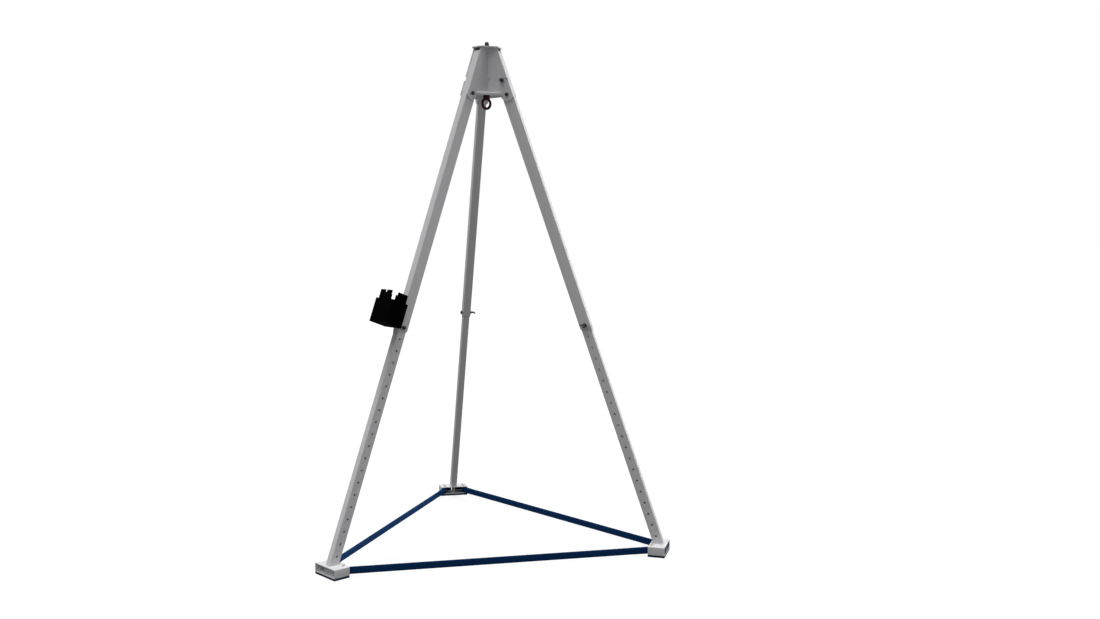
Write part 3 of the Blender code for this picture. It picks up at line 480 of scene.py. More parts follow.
def bar(radius: float, low: float, high: float, edge: float = 0.0, bore: float = 0.0) -> Shape:
    """Turn a round bar or sleeve about Z.

    Args:
        radius: Its outside.
        low: Height of its lower end.
        high: Height of its upper end.
        edge: Chamfer of both ends.
        bore: Radius of the hole through it.

    Returns:
        The bar.
    """
    corners = [(radius, low), (radius, high)]
    if edge:
        corners = [(radius - edge, low), (radius, low + edge), (radius, high - edge), (radius - edge, high)]
    return lathe([(bore, low), *corners, (bore, high)], closed=bore > 0.0)


def rounded_rectangle(depth: float, width: float, corner: float, steps: int = 5) -> list[Point]:
    """Outline a round-cornered rectangle, counter-clockwise.

    Args:
        depth: Its size along X.
        width: Its size along Y.
        corner: Radius of its corners.
        steps: Spans round each corner.

    Returns:
        Its points.
    """
    points = []
    for quarter, (sx, sy) in enumerate(((1, 1), (-1, 1), (-1, -1), (1, -1))):
        for step in range(steps + 1):
            turn = math.pi / 2 * (quarter + step / steps)
            points.append((
                sx * (depth / 2 - corner) + corner * math.cos(turn),
                sy * (width / 2 - corner) + corner * math.sin(turn),
            ))
    return points


def level(outline: Iterable[Point], height: float) -> list[Vector]:
    """Return a flat outline's points at one height."""
    return [Vector((x, y, height)) for x, y in outline]


def prism(outline: Sequence[Point], low: float, high: float) -> Shape:
    """Return a flat outline raised between two heights."""
    return loft([level(outline, low), level(outline, high)])


def block(x: Point, y: Point, z: Point) -> Shape:
    """Return a block between pairs of limits."""
    return prism([(x[0], y[0]), (x[1], y[0]), (x[1], y[1]), (x[0], y[1])], z[0], z[1])


def moved(shape: Shape, place: Matrix) -> Shape:
    """Move a shape and return it."""
    bmesh.ops.transform(shape, matrix=place, verts=shape.verts)
    return shape


def to_mesh(name: str, *shapes: Shape) -> Mesh:
    """Make one mesh of shapes.

    Args:
        name: The mesh's name.
        shapes: What it is made of; they are used up.

    Returns:
        The mesh.
    """
    whole = bmesh.new()
    for shape in shapes:
        part = bpy.data.meshes.new("part")
        shape.to_mesh(part)
        shape.free()
        whole.from_mesh(part)
        bpy.data.meshes.remove(part)
    mesh = bpy.data.meshes.new(name)
    whole.to_mesh(mesh)
    whole.free()
    return mesh


def carved(mesh: Mesh, *cutters: Shape) -> Mesh:
    """Cut shapes out of a mesh.

    Args:
        mesh: What is cut; it is used up.
        cutters: What is taken away.

    Returns:
        The cut mesh.
    """
    body = placed("body", mesh)
    tools = [placed("tool", to_mesh("tool", cutter)) for cutter in cutters]
    for tool in tools:
        step = body.modifiers.new("step", "BOOLEAN")
        step.operation = "DIFFERENCE"
        step.object = tool
    result = applied(body)
    for tool in tools:
        bpy.data.objects.remove(tool)
    result.name = mesh.name
    return result


def hexagon(flats: float, low: float, high: float, steps: int = 6) -> Shape:
    """Make a hexagon whose corners are turned down at both ends, as on a nut.

    Args:
        flats: Width across flats.
        low: Height of its lower face.
        high: Height of its upper face.
        steps: Points along one flat.

    Returns:
        The shape, along Z.
    """
    apothem = flats / 2
    slope = math.tan(math.radians(30.0))
    flat_circle = apothem * END_FACE
    outline = []
    for side in range(6):
        for step in range(steps):
            turn = math.radians(60.0) * (side + step / steps)
            within = (turn % math.radians(60.0)) - math.radians(30.0)
            outline.append((apothem / math.cos(within), turn))
    ends = []
    for end, sign in ((low, 1.0), (high, -1.0)):
        face = [Vector((flat_circle * math.cos(t), flat_circle * math.sin(t), end)) for _, t in outline]
        rim = []
        for radius, turn in outline:
            drop = (radius - flat_circle) * slope
            rim.append(Vector((radius * math.cos(turn), radius * math.sin(turn), end + sign * drop)))
        ends += [face, rim] if sign > 0 else [rim, face]
    return loft(ends)


def softened(node: str, place: Matrix) -> Mesh:
    """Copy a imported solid's mesh with its triangles merged into whole faces.

    Args:
        node: The solid's name.
        place: Directions that the copy is given in.

    Returns:
        The copy, in those directions.
    """
    shape = bmesh.new()
    shape.from_mesh(frame["nodes"][node].data)
    bmesh.ops.transform(shape, matrix=place.inverted(), verts=shape.verts)
    bmesh.ops.remove_doubles(shape, verts=shape.verts, dist=SAME_POINT)
    bmesh.ops.dissolve_limit(shape, angle_limit=SAME_FACE, verts=shape.verts, edges=shape.edges)
    mesh = bpy.data.meshes.new(node)
    shape.to_mesh(mesh)
    shape.free()
    mesh.materials.clear()
    return mesh


@dataclass
class Piece:
    """One visible piece and how it is finished and carried."""

    name: str
    mesh: Mesh
    finish: Finish
    body: str
    stands_for: tuple[str, ...] = ()
    place: Matrix = field(default_factory=Matrix)
    edge: float = 0.0           # radius that its sharp edges are rounded to
    edge_steps: int = 2
    crease: float = 32.0        # degrees past which an edge is sharp
    rounded_from: float = 40.0  # and past which it is rounded
    flat_from: float = math.inf  # area past which a face is shaded flat

    @classmethod
    def copied(
        cls, node: str, name: str, finish: Finish, body: str, place: Matrix, edge: float, **options: float,
    ) -> "Piece":
        """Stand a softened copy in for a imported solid.

        Args:
            node: The solid.
            name: Name of the piece.
            finish: How it is finished.
            body: What carries it.
            place: Directions that its finish runs in.
            edge: Radius that its sharp edges are rounded to.
            options: Other fields of the piece.

        Returns:
            The piece.
        """
        return cls(name, softened(node, place), finish, body, (node,), place, edge, **options)

    def make(self) -> Object:
        """Place, finish and carry the piece.

        Returns:
            Its object, at the origin.
        """
        mesh = self.mesh
        if OWN_PLACE not in mesh.attributes:
            own = mesh.attributes.new(OWN_PLACE, "FLOAT_VECTOR", "POINT")
            for vertex, value in zip(mesh.vertices, own.data):
                value.vector = vertex.co
        mesh.transform(self.place)
        mesh.name = self.name
        if not mesh.materials:
            mesh.materials.append(self.finish.material())
        mesh.shade_smooth()
        mesh.set_sharp_from_angle(angle=math.radians(self.crease))
        for face in mesh.polygons:
            face.use_smooth = face.area < self.flat_from
        item = placed(self.name, mesh)
        if self.edge > 0.0:
            bevel = item.modifiers.new("edges", "BEVEL")
            bevel.width = self.edge
            bevel.segments = self.edge_steps
            bevel.limit_method = "ANGLE"
            bevel.angle_limit = math.radians(self.rounded_from)
            bevel.harden_normals = True
            bevel.miter_outer = "MITER_ARC"
        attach(item, self.body)
        if self.stands_for:
            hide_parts(*self.stands_for)
        return item


# Node trees for what repeats or follows a path

def new_tree(name: str, lengths: Iterable[str], counts: Iterable[str] = ()) -> tuple[Tree, Node]:
    """Start a geometry tree.

    Args:
        name: The tree's name.
        lengths: Names of its inputs that take a length or a share.
        counts: Names of its inputs that take a whole number.

    Returns:
        The tree and its input node.
    """
    tree = bpy.data.node_groups.new(name, "GeometryNodeTree")
    kinds = {"Geometry": "Geometry"} | dict.fromkeys(lengths, "Float") | dict.fromkeys(counts, "Int")
    for label, kind in (kinds | {"Finish": "Material"}).items():
        tree.interface.new_socket(label, in_out="INPUT", socket_type=f"NodeSocket{kind}")
    tree.interface.new_socket("Geometry", in_out="OUTPUT", socket_type="NodeSocketGeometry")
    return tree, add_node(tree, "NodeGroupInput")


def end_tree(tree: Tree, entry: Node, result: Node) -> Tree:
    """End a geometry tree with real geometry in its finish.

    Args:
        tree: The tree.
        entry: Its input node.
        result: Node that ends what it makes.

    Returns:
        The tree.
    """
    real = add_node(tree, "GeometryNodeRealizeInstances", {"Geometry": result})
    dressed = add_node(tree, "GeometryNodeSetMaterial", {"Geometry": real, "Material": entry.outputs["Finish"]})
    add_node(tree, "NodeGroupOutput", {"Geometry": dressed})
    return tree


def beads_tree() -> Tree:
    """Build the tree that sets small round beads, such as stitches or weld ripples, along a path.

    Returns:
        The tree.
    """
    tree, entry = new_tree("beads_along_path", ("Spacing", "Length", "Width", "Spread"))
    out = entry.outputs
    curve = add_node(tree, "GeometryNodeMeshToCurve", {"Mesh": out["Geometry"]})
    spaced = add_node(tree, "GeometryNodeResampleCurve", {"Curve": curve, "Length": out["Spacing"]}, mode="LENGTH")
    size = add_node(tree, "ShaderNodeCombineXYZ", {"X": out["Width"], "Y": out["Width"], "Z": out["Length"]})
    ball = add_node(tree, "GeometryNodeMeshIcoSphere", {"Radius": 0.5, "Subdivisions": 1})
    bead = add_node(tree, "GeometryNodeTransform", {"Geometry": ball, "Scale": size})
    tangent = add_node(tree, "GeometryNodeInputTangent")
    heading = add_node(tree, "FunctionNodeAlignRotationToVector", {"Vector": tangent}, axis="Z")
    least = add_node(tree, "ShaderNodeMath", {0: 1.0, 1: out["Spread"]}, operation="SUBTRACT")
    most = add_node(tree, "ShaderNodeMath", {0: 1.0, 1: out["Spread"]}, operation="ADD")
    scale = add_node(tree, "FunctionNodeRandomValue", {2: least, 3: most, "Seed": 7}, data_type="FLOAT")
    return end_tree(tree, entry, add_node(tree, "GeometryNodeInstanceOnPoints", {
        "Points": spaced, "Instance": bead, "Rotation": heading, "Scale": scale.outputs[1],
    }))


def coil_tree() -> Tree:
    """Build the tree that winds a wire, for a spring or the ridge of a thread.

    Returns:
        The tree.
    """
    tree, entry = new_tree("coil", ("Radius", "Height", "Turns", "Wire"), ("Steps", "Wire sides"))
    out = entry.outputs
    path = add_node(tree, "GeometryNodeCurveSpiral", {
        "Resolution": out["Steps"], "Rotations": out["Turns"], "Start Radius": out["Radius"],
        "End Radius": out["Radius"], "Height": out["Height"],
    })
    section = add_node(tree, "GeometryNodeCurvePrimitiveCircle", {
        "Resolution": out["Wire sides"], "Radius": out["Wire"],
    })
    return end_tree(tree, entry, add_node(tree, "GeometryNodeCurveToMesh", {
        "Curve": path, "Profile Curve": section, "Fill Caps": True,
    }))


def ribs_tree() -> Tree:
    """Build the tree that sets straight ribs round a knob.

    Returns:
        The tree.
    """
    tree, entry = new_tree("ribs_round_knob", ("Radius", "Rib", "Height"), ("Count",))
    out = entry.outputs
    places = add_node(tree, "GeometryNodeMeshCircle", {"Vertices": out["Count"], "Radius": out["Radius"]})
    rib = add_node(tree, "GeometryNodeMeshCylinder", {"Vertices": 6, "Radius": out["Rib"], "Depth": out["Height"]})
    return end_tree(tree, entry, add_node(tree, "GeometryNodeInstanceOnPoints", {"Points": places, "Instance": rib}))


def holes_tree() -> Tree:
    """Build the tree that drills a row of holes along Z right through a tube, along Y.

    Returns:
        The tree.
    """
    tree, entry = new_tree("row_of_holes", ("Pitch", "Radius", "Reach", "First"), ("Count",))
    out = entry.outputs
    row = add_node(tree, "GeometryNodeMeshLine", {
        "Count": out["Count"], "Start Location": add_node(tree, "ShaderNodeCombineXYZ", {"Z": out["First"]}),
        "Offset": add_node(tree, "ShaderNodeCombineXYZ", {"Z": out["Pitch"]}),
    })
    drill = add_node(tree, "GeometryNodeMeshCylinder", {
        "Vertices": 24, "Radius": out["Radius"], "Depth": out["Reach"],
    })
    drills = add_node(tree, "GeometryNodeInstanceOnPoints", {
        "Points": row, "Instance": drill, "Rotation": (math.pi / 2, 0.0, 0.0),
    })
    tools = add_node(tree, "GeometryNodeRealizeInstances", {"Geometry": drills})
    return end_tree(tree, entry, add_node(tree, "GeometryNodeMeshBoolean", {
        "Mesh 1": out["Geometry"], "Mesh 2": tools,
    }, operation="DIFFERENCE"))


def grown(
    tree: Tree, finish: Finish, sizes: dict[str, float | int], source: Mesh | None = None,
) -> Mesh:
    """Run a geometry tree and keep its result as a plain mesh.

    Args:
        tree: The tree.
        finish: Finish of what it makes.
        sizes: Values of its named inputs.
        source: Mesh that it starts from, which is used up.

    Returns:
        The new mesh.
    """
    carrier = placed("carrier", source or bpy.data.meshes.new("nothing"))
    step = carrier.modifiers.new("step", "NODES")
    step.node_group = tree
    values = {**sizes, "Finish": finish.material()}
    for item in tree.interface.items_tree:
        if item.item_type == "SOCKET" and item.in_out == "INPUT" and item.name in values:
            step[item.identifier] = values[item.name]
    return applied(carrier)


def path_mesh(paths: Iterable[Sequence[Vector]]) -> Mesh:
    """Make a mesh of edges along paths.

    Args:
        paths: Points of each path.

    Returns:
        The mesh, without faces.
    """
    points: list[Vector] = []
    edges: list[tuple[int, int]] = []
    for path in paths:
        start = len(points)
        points += path
        edges += [(start + i, start + i + 1) for i in range(len(path) - 1)]
    mesh = bpy.data.meshes.new("path")
    mesh.from_pydata(points, edges, [])
    return mesh


def merged(name: str, meshes: Iterable[Mesh]) -> Mesh:
    """Join meshes into one, keeping each one's finish and attributes.

    Args:
        name: Name of the result.
        meshes: What is joined, at least one.

    Returns:
        The joined mesh.
    """
    items = [placed(name, mesh) for mesh in meshes]
    with bpy.context.temp_override(
        active_object=items[0], object=items[0], selected_editable_objects=items, selected_objects=items,
    ):
        bpy.ops.object.join()
    mesh = items[0].data
    bpy.data.objects.remove(items[0])
    return mesh


@dataclass(frozen=True)
class Trees:
    """The geometry trees, built once."""

    beads: Tree = field(default_factory=beads_tree)
    coil: Tree = field(default_factory=coil_tree)
    ribs: Tree = field(default_factory=ribs_tree)
    holes: Tree = field(default_factory=holes_tree)


@dataclass(frozen=True)
class Stand:
    """Where one leg and its foot are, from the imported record."""

    name: str
    leg: Matrix
    foot: Matrix

    @staticmethod
    def of(name: str) -> "Stand":
        """Read a leg's pivot and directions from its joints and its foot's place from its mount.

        Args:
            name: The leg's name.

        Returns:
            Where the leg and its foot are.
        """
        fold = named(frame["joints"], f"{name}_leg_fold")
        slide = named(frame["joints"], f"{name}_leg_slide")
        sole = named(frame["record"]["mounts"], f"{name}_foot_sole")
        across, along = (Vector(joint["axis"]).normalized() for joint in (fold, slide))
        upright = Vector((0.0, 0.0, 1.0))
        outward = across.cross(along).normalized()
        away = across.cross(upright).normalized()
        leg = Matrix.Translation(fold["pos_m"]) @ Matrix((outward, across, along)).transposed().to_4x4()
        foot = Matrix.Translation(sole["pos_m"]) @ Matrix((away, across, upright)).transposed().to_4x4()
        return Stand(name, leg, foot)


LEGS = ("left", "right", "back")
STRAPS = (("front_strap", "left", "right"), ("right_strap", "right", "back"), ("left_strap", "back", "left"))
SPARE_ENDS = ("right", "back")      # feet whose chambers hold the straps' spare ends


@dataclass
class Fastener:
    """Hexagon bolts and nuts, each on a round flange."""

    flats: float = 0.013
    shank: float = 0.004
    chamfer: float = 0.0006
    flange: float = 0.008
    flange_thickness: float = 0.0016
    lip: float = 0.4                # share of that thickness that stands upright
    head: float = 0.0053
    nut: float = 0.0068
    pitch: float = 0.00125
    thread_start: float = 0.0005    # from the shank's end
    ridge: float = 0.0003           # radius of the thread's section
    ridge_depth: float = 0.00012    # how far its middle lies inside the shank
    steps_a_turn: int = 20

    def flanged(self, seat: float, thickness: float) -> list[Shape]:
        """Make a hexagon on its flange, along Z.

        Args:
            seat: Height of the face that it sits on.
            thickness: The hexagon's own.

        Returns:
            The flange and the hexagon.
        """
        rim = seat + self.flange_thickness
        lip = self.flange_thickness * self.lip
        flange = lathe([
            (0.0, seat), (self.flange, seat), (self.flange, seat + lip), (self.flange - lip, rim), (0.0, rim),
        ])
        return [flange, hexagon(self.flats, rim - lip, rim + thickness)]

    def threaded(self, trees: Trees, finish: Finish, shapes: Iterable[Shape], low: float, high: float) -> Mesh:
        """Make a fastener of its shapes and wind a thread's ridge round its shank.

        Args:
            trees: The geometry trees.
            finish: Its finish.
            shapes: What it is made of; they are used up.
            low: Height where the thread starts.
            high: Height where it ends.

        Returns:
            The fastener's mesh.
        """
        solid = to_mesh("bolt", *shapes)
        solid.materials.append(finish.material())
        turns = (high - low) / self.pitch
        thread = grown(trees.coil, finish, {
            "Radius": self.shank - self.ridge_depth, "Height": high - low, "Turns": turns, "Wire": self.ridge,
            "Steps": max(8, round(turns * self.steps_a_turn)), "Wire sides": 4,
        })
        thread.transform(Matrix.Translation((0.0, 0.0, low)))
        return merged("bolt", [solid, thread])


@dataclass
class Head:
    """Welded head: panels between two plates, with the lifting eye under it on a tie rod."""

    rod: float = 0.006
    rod_edge: float = 0.0008
    washer_edge: float = 0.0003
    eye_turn: float = math.radians(26.0)
    eye_ring: float = 0.0214
    eye_section: float = 0.0059
    ring_steps: int = 64
    section_steps: int = 20
    collar: float = 0.015
    collar_height: float = 0.0147
    collar_edge: float = 0.0016
    collar_sides: int = 48
    neck: float = 0.007375          # between ring and collar
    grid: float = 0.0008            # of the mesh that makes ring and collar one
    smoothing: float = 0.6
    smooth_rounds: int = 8
    nut_flats: float = 0.019
    nut_height: float = 0.0125      # to the hexagon's upper face
    nut_rim: float = 0.012
    nut_rim_thickness: float = 0.0025
    dome_share: float = 0.94        # of half the nut's flats
    dome_rise: float = 0.0053
    dome_steps: int = 8

    def build(self) -> None:
        """Dress the head's sheet pieces, and the eye with its rod, washer and nut."""
        here = Matrix()
        for node in ("head_panel_front", "head_panel_right", "head_panel_left"):
            Piece.copied(node, f"{node}_sheet", HEAD_ALUMINIUM, "head", here, 0.0007, flat_from=0.0001).make()
        Piece.copied("top_plate", "top_plate_sheet", HEAD_ALUMINIUM, "head", here, 0.0008).make()
        Piece.copied("bottom_plate", "bottom_plate_pressing", HEAD_ALUMINIUM, "head", here, 0.0006).make()
        x, y, _ = named(frame["joints"], "eye_swivel")["pos_m"]
        axis = Matrix.Translation((x, y, 0.0))
        turned = axis @ Matrix.Rotation(self.eye_turn, 4, "Z")
        self.build_ring(turned)
        low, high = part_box("tie_rod")
        rod = to_mesh("tie_rod", bar(self.rod, low.z, high.z, self.rod_edge))
        Piece("tie_rod_bar", rod, BLACK_ZINC, "eye", ("tie_rod",), turned).make()
        self.build_cap_nut(turned)
        low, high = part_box("eye_washer")
        disc = bar((high.x - low.x) / 2, low.z, high.z, self.washer_edge, self.rod + SEAT)
        Piece("eye_washer_disc", to_mesh("washer", disc), ZINC, "head", ("eye_washer",), axis).make()
        LOG.info("head: sheet pieces and eye")

    def build_ring(self, place: Matrix) -> None:
        """Forge the ring and its collar into one, with soft fillets where they meet.

        Args:
            place: The swivel's axis on the floor, turned as the eye is.
        """
        low, high = (corner.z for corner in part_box("ring_eye"))
        centre = low + self.eye_ring + self.eye_section
        sections = []
        for step in range(self.ring_steps):
            turn = 2 * math.pi * step / self.ring_steps
            spoke = Vector((math.cos(turn), 0.0, math.sin(turn)))
            ring = []
            for corner in range(self.section_steps):
                angle = 2 * math.pi * corner / self.section_steps
                reach = self.eye_ring + self.eye_section * math.cos(angle)
                ring.append(spoke * reach + Vector((0.0, self.eye_section * math.sin(angle), centre)))
            sections.append(ring)
        foot, edge = high - self.collar_height, self.collar_edge
        collar = lathe([
            (0.0, foot - 0.004), (self.neck * 0.8, foot - 0.004), (self.neck, foot - 0.001),
            (self.collar - 3 * edge, foot), (self.collar, foot + 2 * edge), (self.collar, high - edge / 2),
            (self.collar - edge / 2, high), (0.0, high),
        ], self.collar_sides)
        item = placed("forging", to_mesh("forging", loft(sections, closed=True), collar))
        remesh = item.modifiers.new("whole", "REMESH")
        remesh.mode = "VOXEL"
        remesh.voxel_size = self.grid
        smooth = item.modifiers.new("fillets", "SMOOTH")
        smooth.factor = self.smoothing
        smooth.iterations = self.smooth_rounds
        Piece("ring_eye_forging", applied(item), RED_ENAMEL, "eye", ("ring_eye",), place, crease=60.0).make()

    def build_cap_nut(self, place: Matrix) -> None:
        """Make the flanged hexagon and its dome.

        Args:
            place: The swivel's axis on the floor, turned as the eye is.
        """
        low, high = (corner.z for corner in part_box("cap_nut"))
        rim, wide = self.nut_rim_thickness, self.nut_rim
        flange = lathe([(0.0, low), (wide, low), (wide, low + rim / 2), (wide - 0.001, low + rim), (0.0, low + rim)])
        hexed = hexagon(self.nut_flats, low + rim * 0.6, low + self.nut_height)
        dome = self.nut_flats / 2 * self.dome_share
        root, shoulder = low + self.nut_height - 0.001, high - self.dome_rise
        profile = [(0.0, root), (dome, root), (dome, shoulder)]
        for step in range(1, self.dome_steps):
            turn = math.pi / 2 * step / self.dome_steps
            profile.append((dome * math.cos(turn), shoulder + self.dome_rise * math.sin(turn)))
        mesh = to_mesh("cap_nut", flange, hexed, lathe([*profile, (0.0, high)]))
        Piece("cap_nut_dome", mesh, BLACK_ZINC, "eye", ("cap_nut",), place).make()


@dataclass
class Pivot:
    """A leg's pivot bolt and its head lock plunger."""

    trees: Trees
    stand: Stand
    bolt: Fastener = field(default_factory=Fastener)
    bolt_rise: float = 0.003        # the bolt's end past its nut
    bolt_root: float = 0.002        # how far its shank goes into its head
    flange_outside: float = 0.0245
    lock_rise: float = 0.0644
    hex_flats: float = 0.017
    hex_thickness: float = 0.005
    neck: float = 0.007
    neck_edge: float = 0.0004
    wall: float = 0.006
    nose: float = 0.005
    nose_start: float = 0.0178
    nose_length: float = 0.003
    stem: float = 0.0025
    cap: float = 0.002
    knob: float = 0.0085
    knob_length: float = 0.009
    knob_edge: float = 0.0011
    ribs: int = 24
    rib: float = 0.0005
    rib_depth: float = 0.0002       # how far a rib's middle lies inside the knob
    wire: float = 0.0004
    turns: float = 4.0
    spring_steps: int = 100
    drawn: float = 0.3              # share of the spring's length when the pin is drawn

    def build(self) -> None:
        """Dress one arm's fixings."""
        name, place, bolt = self.stand.name, self.stand.leg, self.bolt
        seat = self.flange_outside + SEAT
        nut_end = seat + bolt.flange_thickness + bolt.nut
        end = nut_end + self.bolt_rise
        turn_over = Matrix.Rotation(math.pi, 4, "X")
        nut = [moved(shape, turn_over) for shape in bolt.flanged(seat, bolt.nut)]
        shank = bar(bolt.shank, -end, seat + self.bolt_root, bolt.chamfer)
        shapes = [shank, *bolt.flanged(seat, bolt.head), *nut]
        mesh = bolt.threaded(self.trees, BLACK_ZINC, shapes, -end + bolt.thread_start, -nut_end)
        mesh.transform(ALONG_Y)
        Piece(f"{name}_pivot_bolt_set", mesh, BLACK_ZINC, "head", (f"{name}_pivot_bolt",), place).make()
        bush = frame["nodes"][f"{name}_pivot_bush"]
        bush.data.materials.clear()
        bush.data.materials.append(ZINC.material())
        self.build_lock(name, place @ Matrix.Translation((0.0, 0.0, self.lock_rise)))
        LOG.info("%s pivot and head lock", name)

    def build_lock(self, name: str, place: Matrix) -> None:
        """Make the plunger's housing, pin and spring, along -Y of the leg.

        Args:
            name: The leg's name.
            place: The lock's axis, in the leg's directions.
        """
        seat = self.flange_outside + SEAT
        inner = seat - self.wall
        end = seat + self.hex_thickness
        bore = self.nose + SEAT
        housing = carved(
            to_mesh("housing", hexagon(self.hex_flats, seat, end)),
            bar(bore, seat - OVERRUN, end - self.cap), bar(self.stem + SEAT, seat, end + OVERRUN),
        )
        neck = to_mesh("neck", lathe([
            (bore, inner), (self.neck - self.neck_edge, inner), (self.neck, inner + self.neck_edge),
            (self.neck, seat), (bore, seat),
        ], closed=True))
        for part in (housing, neck):
            part.materials.append(BLACK_ZINC.material())
        mesh = merged("housing", [housing, neck])
        mesh.transform(ALONG_MINUS_Y)
        Piece(f"{name}_head_lock_bush", mesh, BLACK_ZINC, "head", (f"{name}_head_lock_housing",), place).make()
        self.build_pin(name, place, end + SEAT)
        self.build_spring(name, place, self.nose_start + self.nose_length, end - self.cap)

    def build_pin(self, name: str, place: Matrix, knob: float) -> None:
        """Make the pin with its nose, stem and ribbed knob.

        Args:
            name: The leg's name.
            place: The lock's axis, in the leg's directions.
            knob: Height where the knob starts.
        """
        tip, edge = knob + self.knob_length, self.knob_edge
        shoulder, grip = self.nose_start + self.nose_length, self.knob - edge / 3
        pin = to_mesh("pin", lathe([
            (0.0, self.nose_start), (self.nose - edge / 2, self.nose_start), (self.nose, self.nose_start + edge / 2),
            (self.nose, shoulder), (self.stem, shoulder), (self.stem, knob), (self.knob - edge, knob),
            (grip, knob + edge / 3), (grip, tip - edge), (self.knob - edge, tip - edge / 4),
            (self.knob - 2 * edge, tip), (0.0, tip),
        ]))
        pin.materials.append(BLACK_PLASTIC.material())
        ribs = grown(self.trees.ribs, BLACK_PLASTIC, {
            "Count": self.ribs, "Radius": grip - self.rib_depth, "Rib": self.rib,
            "Height": self.knob_length - 2.4 * edge,
        })
        ribs.transform(Matrix.Translation((0.0, 0.0, (knob + tip) / 2)))
        mesh = merged("pin", [pin, ribs])
        mesh.transform(ALONG_MINUS_Y)
        carrier, solid = f"{name}_head_lock", f"{name}_head_lock_pin"
        Piece(f"{name}_head_lock_plunger", mesh, BLACK_PLASTIC, carrier, (solid,), place).make()

    def build_spring(self, name: str, place: Matrix, low: float, high: float) -> None:
        """Wind the spring between the nose's shoulder and the housing's cap.

        Args:
            name: The leg's name.
            place: The lock's axis, in the leg's directions.
            low: Height of the nose's shoulder.
            high: Height of the housing's cap.
        """
        clear = SEAT + self.wire
        mesh = grown(self.trees.coil, SPRING_STEEL, {
            "Radius": self.nose - 2 * self.wire, "Height": high - low - 2 * clear, "Turns": self.turns,
            "Wire": self.wire, "Steps": self.spring_steps, "Wire sides": 8,
        })
        mesh.transform(ALONG_MINUS_Y @ Matrix.Translation((0.0, 0.0, low + clear)))
        solid = f"{name}_head_lock_spring"
        item = Piece(f"{name}_head_lock_coil", mesh, SPRING_STEEL, "head", (solid,), place, crease=70.0).make()
        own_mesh(item)


